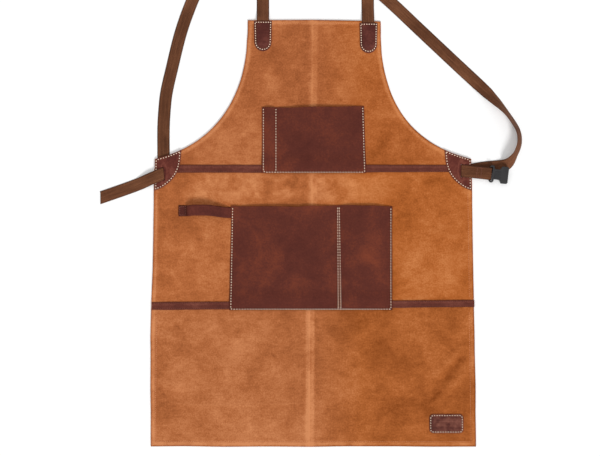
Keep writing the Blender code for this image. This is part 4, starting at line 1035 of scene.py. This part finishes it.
def corner_patches(panels):
    """Both patches, and the slots cut through them and the panels under them."""
    outer, inner = patch_chains()
    u = np.concatenate([[0.003], np.linspace(0.012, 0.988, 46), [0.997]])
    v = np.concatenate([[0.0, 0.015, 0.05, 0.1], np.linspace(0.16, 0.84, 18),
                        [0.9, 0.95, 0.985, 1.0]])
    near, far = along(inner, u), along(outer, u)
    flat = near[None] + (far - near)[None] * v[:, None, None]
    wide = np.linalg.norm(far - near, axis=1)[None, :]
    edge = np.minimum(inside(v[:, None], wide), inside(u, PATCH_ENDS)[None, :])
    seam = bell(edge - PATCH_ROW, 0.9 * MM)
    loop = np.vstack([outer, inner[::-1][1:-1]])
    ring = inset_ring(loop, PATCH_ROW)
    for label, side, slot, tilt in (("left", -1, LEFT_SLOT, LEFT_SLOT_TILT),
                                    ("right", 1, RIGHT_SLOT, 0.0)):
        x, y = side * flat[..., 0], flat[..., 1]
        off = np.hypot((x - slot.x) / 5, (y - slot.y) / 15) / MM
        pull, _ = segment_distance(x, y, (slot.x / MM, slot.y / MM + 14),
                                   (slot.x / MM + side * 19, slot.y / MM + 18))
        lip = 0.35 * MM * bell(off - 1.0, 0.45) + 0.3 * MM * bell(pull, 1.5 * MM)
        top = (TRIM_TOP - 0.1 * MM - 0.28 * MM * seam + lip
               + 0.15 * MM * noise(x, y, 0.012, 121 + side))
        # Round the slot the dark ring is painted shade at the slot's mouth, and the pale ring over
        # the raised lip and the pale line along the pulled ridge are painted highlight.
        tone = (0.3 * noise(x, y, 0.016, 123 + side) - 0.6 * bell(off - 0.6, 0.4) - 0.3 * seam
                + 0.5 * bell(off - 1.35, 0.25) + 0.4 * bell(pull, 1.3 * MM)
                + 0.3 * smooth(0.0024, 0.0010, edge))
        made = leather_piece(f"{label}_corner_patch", x, y, top, TRIM_BACK, edge, "patch", tone,
                             outward=side < 0)
        fix_normals(made)
        for number, thing in enumerate([made] + panels):
            tool = slot_tool(f"slot_tool_{side}_{number}", slot, tilt, -2 * MM, 12 * MM)
            cut_through(thing, tool, solver="MANIFOLD")
        path = [(side * px, py, TRIM_TOP - 0.3 * MM) for px, py in ring]
        stitches(f"{label}_patch", path, closed=True, seed=125 + side)


def inset_ring(loop, inset):
    """A closed outline moved inwards, with its doubled-back points dropped."""
    p = np.asarray(loop)
    ahead, behind = unit(np.roll(p, -1, axis=0) - p), unit(p - np.roll(p, 1, axis=0))
    one = np.stack([behind[:, 1], -behind[:, 0]], axis=1)
    two = np.stack([ahead[:, 1], -ahead[:, 0]], axis=1)
    middle = unit(one + two)
    scale = inset / np.maximum(0.55, (middle * one).sum(axis=1))
    sign = -1 if signed_area(p) > 0 else 1
    moved = p + middle * (sign * scale)[:, None]
    return np.array([q for q in moved if np.min(np.hypot(*(p - q).T)) > inset * 0.86])


# ---- shoulder tabs
TAB_WIDE, TAB_LONG, TAB_ROW = 36.5 * MM, 61 * MM, 2.7 * MM
TAB_STRAIGHT = TAB_LONG - TAB_WIDE / 2
TAB_TOPS = {"left": (-101.3 * MM, 299 * MM), "right": (112.4 * MM, 295 * MM)}
WEB_UNDER_TAB = 44 * MM


def tab_half(drop):
    """Half the tab's width at a distance below its top edge."""
    taper = 1 - 0.05 * np.minimum(1, drop / TAB_STRAIGHT)
    reach = np.clip((drop - TAB_STRAIGHT) / (TAB_WIDE / 2), 0, 1)
    return TAB_WIDE / 2 * taper * np.sqrt(1 - reach ** 2)


def tab_low(x_off, drop):
    """Underside of the tab at a distance from its middle line, raised over the webbing's end."""
    flat = 1 - smooth(12.6 * MM, 16.0 * MM, np.abs(x_off))
    return TRIM_Z - 0.2 * MM + (WEB_THICK + GAP + 0.2 * MM) * flat * (
        1 - smooth(WEB_UNDER_TAB + MM, WEB_UNDER_TAB + 6 * MM, drop))


def tabs():
    share = steps_to(TAB_WIDE, 1.5 * MM, EDGE_ROUND) / TAB_WIDE
    round_end = TAB_LONG - TAB_WIDE / 2 * (1 - np.sin(np.radians(np.linspace(0, 88.5, 22))))
    drop = np.concatenate([[0, 0.1, 0.35, 0.8, 1.6], np.arange(3.2, 42.0, 1.7)]) * MM
    drop = np.concatenate([drop[drop < round_end[0] - 0.5 * MM], round_end])[:, None]
    half = tab_half(drop)
    x_off = (share[None, :] * 2 - 1) * half
    slope = np.abs(np.gradient(half[:, 0], drop[:, 0]))[:, None]
    edge = inside(share, 1)[None, :] * 2 * half / np.sqrt(1 + slope ** 2)
    edge = np.minimum(edge, np.minimum(drop, TAB_LONG - drop + 0.05 * MM))
    d = drop + 0 * x_off
    low = tab_low(x_off, d)
    groove = bell(edge - TAB_ROW, 0.8 * MM)
    top = low + TRIM - 0.25 * MM * groove + 0.12 * MM * noise(x_off, d, 0.012, 131)
    tone = (0.3 * noise(x_off, d, 0.018, 133) - 0.3 * groove + 0.35 * smooth(0.002, 0.0008, edge)
            - 0.15 * bell(np.abs(x_off) - 13.5 * MM, 2 * MM))
    drops = np.linspace(2.9 * MM + MM, TAB_STRAIGHT, 20)
    radius = float(tab_half(TAB_STRAIGHT)) - TAB_ROW
    ring = [(s * (TAB_WIDE / 2 - TAB_ROW), 2.9 * MM) for s in np.linspace(-1, 1, 15)]
    ring += [(float(tab_half(k)) - TAB_ROW, k) for k in drops]
    ring += [(radius * math.cos(a), TAB_STRAIGHT + radius * math.sin(a))
             for a in np.radians(np.arange(8, 173, 8))]
    ring += [(TAB_ROW - float(tab_half(k)), k) for k in drops[::-1]]
    for label, (tx, ty) in TAB_TOPS.items():
        grids = [grid[::-1] for grid in (tx + x_off, ty - d, top, low, edge)]
        made = leather_piece(f"{label}_shoulder_tab", *grids, "tab", tone[::-1])
        path = [(tx + a, ty - b, float(tab_low(a, b)) + TRIM - 0.15 * MM) for a, b in ring]
        stitches(f"{label}_tab", path, pitch=4.9, closed=True, seed=135 + len(label))


# ---- webbing
# Each strap's route in millimetres along the floor, and how far it rolls onto its edge in degrees.
LEFT_ROUTE = [(-101.3, 255.0, 0), (-101.3, 330.0, 0), (-101.3, 400.0, 0), (-101.2, 445.0, 14),
              (-101.0, 488.0, 64), (-96.5, 518.0, 80), (-82.0, 536.0, 82), (-62.0, 530.0, 80),
              (-44.0, 514.0, 66), (-8.0, 481.5, 20), (30.0, 447.0, 0), (70.0, 411.5, 0),
              (151.9, 341.9, 0), (220.0, 278.0, 0), (284.5, 217.4, 0), (344.3, 161.6, 6),
              (361.5, 144.5, 24), (379.5, 126.0, 44), (393.5, 109.5, 62), (405.5, 92.5, 76),
              (413.6, 78.0, 88), (417.0, 63.5, 97), (416.2, 48.5, 97), (411.5, 35.0, 92),
              (405.0, 23.0, 84), (398.4, 14.0, 66), (391.0, 8.4, 20), (384.0, 6.2, 6),
              (374.0, 4.8, 0), (354.5, 3.2, 0), (336.0, 0.8, 0), (320.0, -2.2, 0), (304.0, -4.0, 0)]
RIGHT_ROUTE = [(112.4, 251.0, 0), (111.0, 330.0, 0), (110.4, 420.0, 0), (110.0, 452.0, 12),
               (106.0, 492.0, 46), (92.0, 542.0, 74), (64.0, 583.0, 80), (24.0, 607.0, 80),
               (-22.0, 611.0, 80), (-68.0, 595.0, 80), (-110.0, 562.0, 72),
               (-147.0, 519.0, 42), (-182.0, 467.0, 10), (-215.0, 405.0, 0),
               (-243.8, 341.9, 0), (-267.3, 277.0, 0), (-286.0, 202.0, 0),
               (-296.6, 155.0, 0), (-300.7, 118.0, 0), (-302.7, 80.0, 0), (-302.7, 30.0, 0),
               (-302.7, -24.0, 0)]
LEFT_TAIL_ROUTE = [(-302.3, -9.8), (-323.6, -18.2), (-346.3, -28.2), (-370.6, -37.6),
                   (-400.0, -48.0), (-430.5, -58.5)]
CROSSING = Vector((110.4, 376.5)) * MM
UP = Vector((0, 0, 1))
DOWN_Y = Vector((0, -1, 0))
LEFT_ACROSS = Vector((math.sin(LEFT_SLOT_TILT), -math.cos(LEFT_SLOT_TILT), 0))
LEFT_OUT = Vector((-math.cos(LEFT_SLOT_TILT), -math.sin(LEFT_SLOT_TILT), 0))
# The most degrees of roll, how many stations it is spread over, and how many it is moved back by.
ROLL_MOST, ROLL_SPREAD, ROLL_AHEAD = 60, 7, 4
TAIL_TURN, TAIL_ANGLES = 1.35 * MM, np.radians([0, 15, 30, 45, 60, 75])


# Spacing of a strap's stations, how far along it the tab lifts it, where it comes down past the
# bib's top, and where the upper strap comes down beside the crossing.
STATION_STEP, TAB_REACH = 4.5 * MM, 120 * MM
BIB_DROP, CROSS_DROP = (BIB_TOP + 2 * MM, BIB_TOP + 26 * MM), (34 * MM, 75 * MM)


def strap_stations(route, side, crossing):
    """Stations of a strap on the floor, its roll held to ROLL_MOST and spread along it."""
    curve = catmull(np.array(route) * MM, STATION_STEP)
    rolls = np.clip(curve[:, 2] / MM, 0, ROLL_MOST)
    rolls = np.convolve(rolls, np.ones(ROLL_SPREAD) / ROLL_SPREAD)
    rolls = rolls[ROLL_AHEAD:ROLL_AHEAD + len(curve)]
    stations, gone = [], 0.0
    for k, (x, y) in enumerate(curve[:, :2]):
        if k:
            gone += float(np.linalg.norm(curve[k, :2] - curve[k - 1, :2]))
        after, before = min(k + 1, len(curve) - 1), max(k - 1, 0)
        ahead = Vector(curve[after, :2] - curve[before, :2]).normalized()
        left = Vector((-ahead.y, ahead.x, 0))
        roll = side * math.radians(rolls[k])
        across = left * math.cos(roll) + UP * math.sin(roll)
        up = UP * math.cos(roll) - left * math.sin(roll)
        high = abs(math.sin(roll)) * WEBBING / 2 + abs(math.cos(roll)) * WEB_THICK / 2
        if gone < TAB_REACH:
            high += TRIM_Z * (1 - float(smooth(*BIB_DROP, y)))
        if crossing:
            near = (Vector((x, y)) - CROSSING).length
            high += (WEB_THICK + GAP) * (1 - float(smooth(*CROSS_DROP, near)))
        stations.append((Vector((x, y, high)), across, up))
    return stations


def strap_piece(name, stations, body, node, seed):
    """A webbing piece through its stations, and its length."""
    points, faces, weave = band(stations, WEBBING / 2, WEB_THICK * 0.93, rib=0.16, around=30)
    edge = WEBBING / 2 - np.abs(weave[:, 1])
    tone = (0.3 * noise(weave[:, 0], weave[:, 1] * 3, 0.05, seed)
            - 0.3 * smooth(0.0025, 0.0008, edge) + 0.22 * bell(edge - 4 * MM, 1.1 * MM)
            + 0.16 * bell(weave[:, 1], 1.2 * MM))
    made = fix_normals(piece(name, points, faces, "webbing", [node], body, tone=tone, weave=weave))
    return made, float(lengths(np.array([tuple(s[0]) for s in stations]))[-1])


def shoulder_straps():
    """Both straps; the left one turns up into the right slot, the right one into the left slot."""
    stations = strap_stations(LEFT_ROUTE, -1, True)
    stations[-1] = (stations[-1][0], DOWN_Y, UP)
    bend, level = 1.1 * MM, WEB_THICK / 2
    for a in np.radians([0, 18, 36, 54, 72, 90]):
        at = Vector((RIGHT_SLOT.x + bend * (1 - math.sin(a)), RIGHT_SLOT.y,
                     level + bend * (1 - math.cos(a))))
        ahead = Vector((-math.cos(a), 0, math.sin(a)))
        stations.append((at, DOWN_Y, ahead.cross(DOWN_Y).normalized()))
    top = TRIM_TOP - 0.1 * MM
    stations.append((Vector((RIGHT_SLOT.x, RIGHT_SLOT.y, top)), stations[-1][1], stations[-1][2]))
    left, length = strap_piece("left_shoulder_strap", stations, "apron", "left_shoulder_strap",
                               141)
    stations = strap_stations(RIGHT_ROUTE, 1, False)
    right, length = strap_piece("right_shoulder_strap", stations, "apron", "right_shoulder_strap",
                                143)
    rise = [(LEFT_SLOT + UP * z, LEFT_ACROSS, LEFT_OUT)
            for z in np.linspace(WEB_THICK * 0.9, top, 6)]
    strap_piece("right_strap_fold", rise, "apron", "right_shoulder_strap", 144)


def left_tail():
    """The tail that comes up through the left slot and lies out on the floor."""
    route = catmull(np.array(LEFT_TAIL_ROUTE) * MM, 3 * MM)
    stations = []
    for a in TAIL_ANGLES:
        at = (LEFT_SLOT + LEFT_OUT * TAIL_TURN * (1 - math.cos(a))
              + UP * (TAIL_Z - TAIL_TURN * (1 - math.sin(a))))
        up = (UP * math.sin(a) - LEFT_OUT * math.cos(a)).normalized()
        stations.append((at, LEFT_ACROSS, up))
    gone = 0.0
    for k in range(1, len(route)):
        gone += float(np.linalg.norm(route[k] - route[k - 1]))
        ahead = route[min(k + 1, len(route) - 1)] - route[max(k - 1, 0)]
        square = Vector((ahead[1], -ahead[0], 0)).normalized()
        square = -square if square.dot(LEFT_ACROSS) < 0 else square
        across = LEFT_ACROSS.lerp(square, float(smooth(0, 22 * MM, gone))).normalized()
        z = TAIL_Z + (WEB_THICK / 2 - TAIL_Z) * float(smooth(25 * MM, 62 * MM, gone))
        stations.append((Vector((*route[k], z)), across, UP))
    stations[-1] = (stations[-1][0], DOWN_Y * 1.06, UP)
    made, length = strap_piece("left_strap_tail", stations, None, "left_strap_tail", 145)
    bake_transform(made)


TACK_START, TACK_END, START_RISE, END_RISE = 31 * MM, 40 * MM, 1.6 * MM, 2.3 * MM
# The right tail's upper run: distance from the slot and rise above TAIL_Z, in millimetres.
TAIL_UPPER = [(3, 0), (8, 0), (12, 0), (17, 0.1), (22, 0.4), (26.5, 0.9), (31, 1.6), (36, 2.0),
              (40, 2.3), (46, 2.7)]


def right_tail():
    """The tail that runs out to the buckle, round its bar and back under itself to a bar tack."""
    way = Vector((BUCKLE_AT.x - RIGHT_SLOT.x, BUCKLE_AT.y - RIGHT_SLOT.y, 0))
    way, reach = way.normalized(), way.length
    square = Vector((way.y, -way.x, 0))
    bend = BAR_R + GAP + WEB_THICK / 2
    profile = [(TAIL_TURN * (1 - math.cos(a)), TAIL_Z - TAIL_TURN * (1 - math.sin(a)))
               for a in TAIL_ANGLES]
    profile += [(s * MM, TAIL_Z + r * MM) for s, r in TAIL_UPPER]
    profile.append((reach - 5 * MM, BUCKLE_AT.z + bend - 0.1 * MM))
    profile += [(reach + bend * math.cos(a), BUCKLE_AT.z + bend * math.sin(a))
                for a in np.radians(np.arange(90, -91, -15))]
    under = WEB_THICK + GAP
    profile += [(reach - 5 * MM, BUCKLE_AT.z - bend + 0.3 * MM),
                (TACK_END, TAIL_Z + END_RISE - under), (36 * MM, TAIL_Z + 2.0 * MM - under),
                (TACK_START, TAIL_Z + START_RISE - under)]
    centres = [RIGHT_SLOT + way * s + UP * z for s, z in profile]
    stations = []
    for k, centre in enumerate(centres):
        ahead = UP
        if k:
            ahead = (centres[min(k + 1, len(centres) - 1)] - centres[k - 1]).normalized()
        turned = min(1.0, max(0.0, profile[k][0] / (20 * MM)))
        across = DOWN_Y.lerp(square, turned).normalized()
        stations.append((centre, across, ahead.cross(across).normalized()))
    made, length = strap_piece("right_strap_tail", stations, None, "right_strap_tail", 147)
    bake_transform(made)
    lift = WEB_THICK / 2
    ring = [tuple(RIGHT_SLOT + way * s + square * t * 10 * MM + UP * (TAIL_Z + rise + lift))
            for s, t, rise in ((TACK_START, -1, START_RISE), (TACK_END, -1, END_RISE),
                               (TACK_END, 1, END_RISE), (TACK_START, 1, START_RISE))]
    stitches("buckle_bar", ring, "brown", "right_tail", pitch=2.4, long=2.2, wide=1.1, closed=True,
             seed=149, node="buckle_bar_tack")


# ---- buckle
def soft_box(name, low, high, bevel):
    """A box between two corners, in millimetres, with rounded edges."""
    bm = bmesh.new()
    bmesh.ops.create_cube(bm, size=1.0)
    low, high = Vector([v * MM for v in low]), Vector([v * MM for v in high])
    bmesh.ops.scale(bm, verts=bm.verts, vec=high - low)
    bmesh.ops.translate(bm, verts=bm.verts, vec=(high + low) / 2)
    bmesh.ops.bevel(bm, geom=bm.edges[:] + bm.verts[:], offset=bevel * MM, segments=3, profile=0.5,
                    affect="EDGES")
    return from_bmesh(name, bm)


def buckle():
    """The female half of a side-release buckle, turned on its webbing bar."""
    back, front = -BAR_R / MM, (BUCKLE_LONG - BAR_R) / MM - 1.2
    half, high = BUCKLE_HALF / MM, BUCKLE_HIGH / MM
    outline = [(front, half - 2.2), (front - 2.2, half), (22.5, half), (19.5, 11.2), (18.0, 10.3),
               (9.8, 10.3), (8.2, 11.4), (6.4, half - 0.6), (4.6, half), (back + 2.5, half),
               (back, half - 2.5)]
    bm = bmesh.new()
    base = bm.faces.new([bm.verts.new((x * MM, y * MM, -BUCKLE_HIGH))
                         for x, y in outline + [(x, -y) for x, y in outline[::-1]]])
    grown = bmesh.ops.extrude_face_region(bm, geom=[base])
    roof = [v for v in grown["geom"] if isinstance(v, bmesh.types.BMVert)]
    bmesh.ops.translate(bm, verts=roof, vec=(0, 0, 2 * BUCKLE_HIGH))
    bmesh.ops.recalc_face_normals(bm, faces=bm.faces)
    rim = [e for e in bm.edges if abs(e.verts[0].co.z - e.verts[1].co.z) < 1e-6]
    bmesh.ops.bevel(bm, geom=rim, offset=0.8 * MM, segments=3, profile=0.5, affect="EDGES",
                    clamp_overlap=True)
    made = from_bmesh("buckle_receiver", bm)
    made.name = "buckle_receiver_piece"
    lug = half - 3.2
    for name, low, far, bevel in (
            ("gap_tool", (back - 2, -lug, -9), (3.9, lug, 9), 0.4),
            ("mouth_tool", (10.6, -12.5, -2.9), (front + 3, 12.5, 2.9), 0.8),
            ("recess_tool", (7.6, -8.2, high - 0.7), (20.5, 8.2, 9), 0.4)):
        cut_through(made, soft_box(name, low, far, bevel))
    for k in range(4):
        x = 9.6 + 2.6 * k
        rib = soft_box("rib_tool", (x, -6.8, high - 1.6), (x + 1.1, 6.8, high - 0.1), 0.3)
        cut_through(made, rib, "UNION")
    bm = bmesh.new()
    bmesh.ops.create_cone(bm, segments=24, radius1=BAR_R, radius2=BAR_R, cap_ends=True,
                          depth=2 * (lug + 1) * MM,
                          matrix=Matrix.Rotation(math.radians(90), 4, "X"))
    cut_through(made, from_bmesh("bar_tool", bm), "UNION")
    made.data.transform(Matrix.Translation(BUCKLE_AT) @ Matrix.Rotation(BUCKLE_TURN, 4, "Z")
                        @ Matrix.Rotation(-BUCKLE_PITCH, 4, "Y"))
    made.data.materials.clear()
    made.data.materials.append(LOOKS["buckle"])
    for face in made.data.polygons:
        face.material_index = 0
    made.data.shade_smooth()
    made.data.set_sharp_from_angle(angle=math.radians(35))
    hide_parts("buckle_receiver")
    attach(made, "buckle")


# ---- label and hems
LABEL_CORNER, LABEL_ROW, LABEL_BORDER = 8 * MM, 2.6 * MM, 5.4 * MM
BAR_Y, BAR_WIDE, BAR_REACH = 4.5 * MM, (1.6 * MM, 0.9 * MM), (22 * MM, 20 * MM)


def label():
    """A blank patch with round corners, a pressed border and two blank bars."""
    x0, y0, x1, y1 = LABEL
    wide, high, corner = x1 - x0, y1 - y0, LABEL_CORNER
    u = (steps_to(wide, 1.7 * MM, EDGE_ROUND) / wide)[None, :]
    v = (steps_to(high, 1.5 * MM, EDGE_ROUND) / high)[:, None]
    px, py = (u - 0.5) * wide + 0 * v, (v - 0.5) * high + 0 * u
    inner_x, inner_y = np.abs(px) - (wide / 2 - corner), np.abs(py) - (high / 2 - corner)
    both = (inner_x > 0) & (inner_y > 0)
    reach = np.where(both, np.maximum(inner_x, inner_y)
                     / np.maximum(np.hypot(inner_x, inner_y), 1e-9), 1.0)
    px = px + np.where(both, inner_x * (reach - 1) * np.sign(px), 0)
    py = py + np.where(both, inner_y * (reach - 1) * np.sign(py), 0)
    flat = np.minimum(wide / 2 - np.abs(px), high / 2 - np.abs(py))
    round_part = corner - np.hypot(np.maximum(np.abs(px) - (wide / 2 - corner), 0),
                                   np.maximum(np.abs(py) - (high / 2 - corner), 0))
    edge = np.maximum(np.where(both, round_part, flat), 0)
    line = bell(edge - LABEL_BORDER, 0.5 * MM)
    seam = bell(edge - LABEL_ROW, 0.8 * MM)
    bars = smooth(*BAR_WIDE, np.abs(np.abs(py) - BAR_Y)) * smooth(*BAR_REACH, np.abs(px))
    x, y = (x0 + x1) / 2 + px, (y0 + y1) / 2 + py
    top = TRIM_TOP - 0.28 * MM * seam - 0.3 * MM * line + 0.12 * MM * noise(x, y, 0.008, 151)
    half = (top - TRIM_BACK) / 2 * rounding(edge, EDGE_ROUND)
    middle = (top - 0.3 * MM * bars + TRIM_BACK) / 2
    tone = (0.5 * noise(x, y, 0.007, 153) - 0.4 * seam - 0.35 * line
            + 0.4 * smooth(0.002, 0.0008, edge) + 0.35 * bars)
    made = sheet_piece("label_patch", x, y, middle + half, middle - half, "label", tone)
    ring, radius = [], 5.4 * MM
    for cx, cy, start in ((x1, y1, 0), (x0, y1, 90), (x0, y0, 180), (x1, y0, 270)):
        cx += (radius + LABEL_ROW) * (-1 if cx == x1 else 1)
        cy += (radius + LABEL_ROW) * (-1 if cy == y1 else 1)
        ring += [(cx + radius * math.cos(a), cy + radius * math.sin(a), TRIM_TOP - 0.3 * MM)
                 for a in np.radians(np.arange(start, start + 91, 15))]
    stitches("label", ring, pitch=5.2, long=2.7, wide=1.8, closed=True, seed=155)


def hem_row(name, row, seed):
    """A row of fine tan stitches pressed into the suede."""
    path = np.column_stack([row, np.full(len(row), FACE_Z - 0.25 * MM)])
    stitches(name, path, "tan", pitch=4.4, long=2.9, wide=0.95, sink=0.3, seed=seed)


def hems():
    ahead = unit(np.gradient(ARM, axis=0))
    inner = ARM + np.stack([ahead[:, 1], -ahead[:, 0]], axis=1) * (HEM_ARM - 2 * MM)
    inner = inner[inner[:, 0] < 0.256]
    top_y = BIB_TOP - HEM_ARM + 2 * MM
    inner[0, 1] = top_y
    gap = TAB_WIDE / 2 + 1.2 * MM
    for side_name, side, inset in (("left", -1, 6 * MM), ("right", 1, 9 * MM)):
        start = abs(TAB_TOPS[side_name][0] - BIB_LEAN) + gap
        row = [(side * start + BIB_LEAN, top_y)]
        row += [(side * x + float(lean(y)), y) for x, y in inner]
        hem_row(f"{side_name}_arm_hem", row, 161 + side)
        row = [(side * (float(side_half(y)) - inset), y) for y in np.linspace(-0.05, -0.2597, 30)]
        hem_row(f"{side_name}_waist_hem", row, 165 + side)
    ends = TAB_TOPS["left"][0] + gap, TAB_TOPS["right"][0] - gap
    hem_row("bib_top_hem", [(x, top_y) for x in np.linspace(*ends, 30)], 167)
    inset = HEM_SIDE - 2 * MM
    top, bottom = THIGH_LEFT_Y - 12 * MM, HEM_Y + inset
    row = [(-float(side_half(y)) + inset, y) for y in np.linspace(top, bottom, 40)]
    row += [(x, bottom) for x in np.linspace(-HEM_HALF + inset, HEM_HALF - inset, 80)][1:]
    row += [(float(side_half(y)) - inset, y) for y in np.linspace(bottom, top, 40)][1:]
    hem_row("skirt_hem", row, 168)


# ---- floor, light and camera
FLOOR_HALF, FLOOR_Z = 6.0, -0.4 * MM
SUNS = [("key", (0.45, -0.92, 0.9), 1.95, 20), ("fill", (-0.5, 0.4, 1.6), 0.3, 40)]
CAMERA_AT, LENS, SENSOR = (-0.0263, -0.1198, 2.87), 85, 36


def stage():
    mesh = bpy.data.meshes.new("floor")
    mesh.from_pydata([(x * FLOOR_HALF, y * FLOOR_HALF, FLOOR_Z)
                      for x, y in ((-1, -1), (1, -1), (1, 1), (-1, 1))], [], [(0, 1, 2, 3)])
    floor = linked("floor", mesh)
    look = bpy.data.materials.new("floor_white")
    look.use_nodes = True
    sockets = look.node_tree.nodes["Principled BSDF"].inputs
    sockets["Base Color"].default_value = (0.9, 0.9, 0.9, 1)
    sockets["Roughness"].default_value = 0.9
    sockets["Emission Color"].default_value = (1, 1, 1, 1)
    sockets["Emission Strength"].default_value = 0.12
    mesh.materials.append(look)
    scene = bpy.context.scene
    scene.view_settings.view_transform = "Standard"
    scene.world = bpy.data.worlds.new("studio")
    scene.world.use_nodes = True
    sockets = scene.world.node_tree.nodes["Background"].inputs
    sockets["Color"].default_value = (1, 1, 1, 1)
    sockets["Strength"].default_value = 0.55
    for name, way, strength, angle in SUNS:
        light = bpy.data.lights.new(name, "SUN")
        light.energy, light.angle = strength, math.radians(angle)
        linked(name, light).rotation_euler = Vector(way).to_track_quat("Z", "Y").to_euler()
    lens = bpy.data.cameras.new("camera")
    lens.lens, lens.sensor_width, lens.clip_start, lens.clip_end = LENS, SENSOR, 0.05, 50
    scene.camera = linked("camera", lens)
    scene.camera.location = CAMERA_AT


stage()
bib_piece = bib()
waist_piece = lower_panels()
strips()
pockets()
tool_loop()
corner_patches([bib_piece, waist_piece])
tabs()
shoulder_straps()
left_tail()
right_tail()
buckle()
label()
hems()
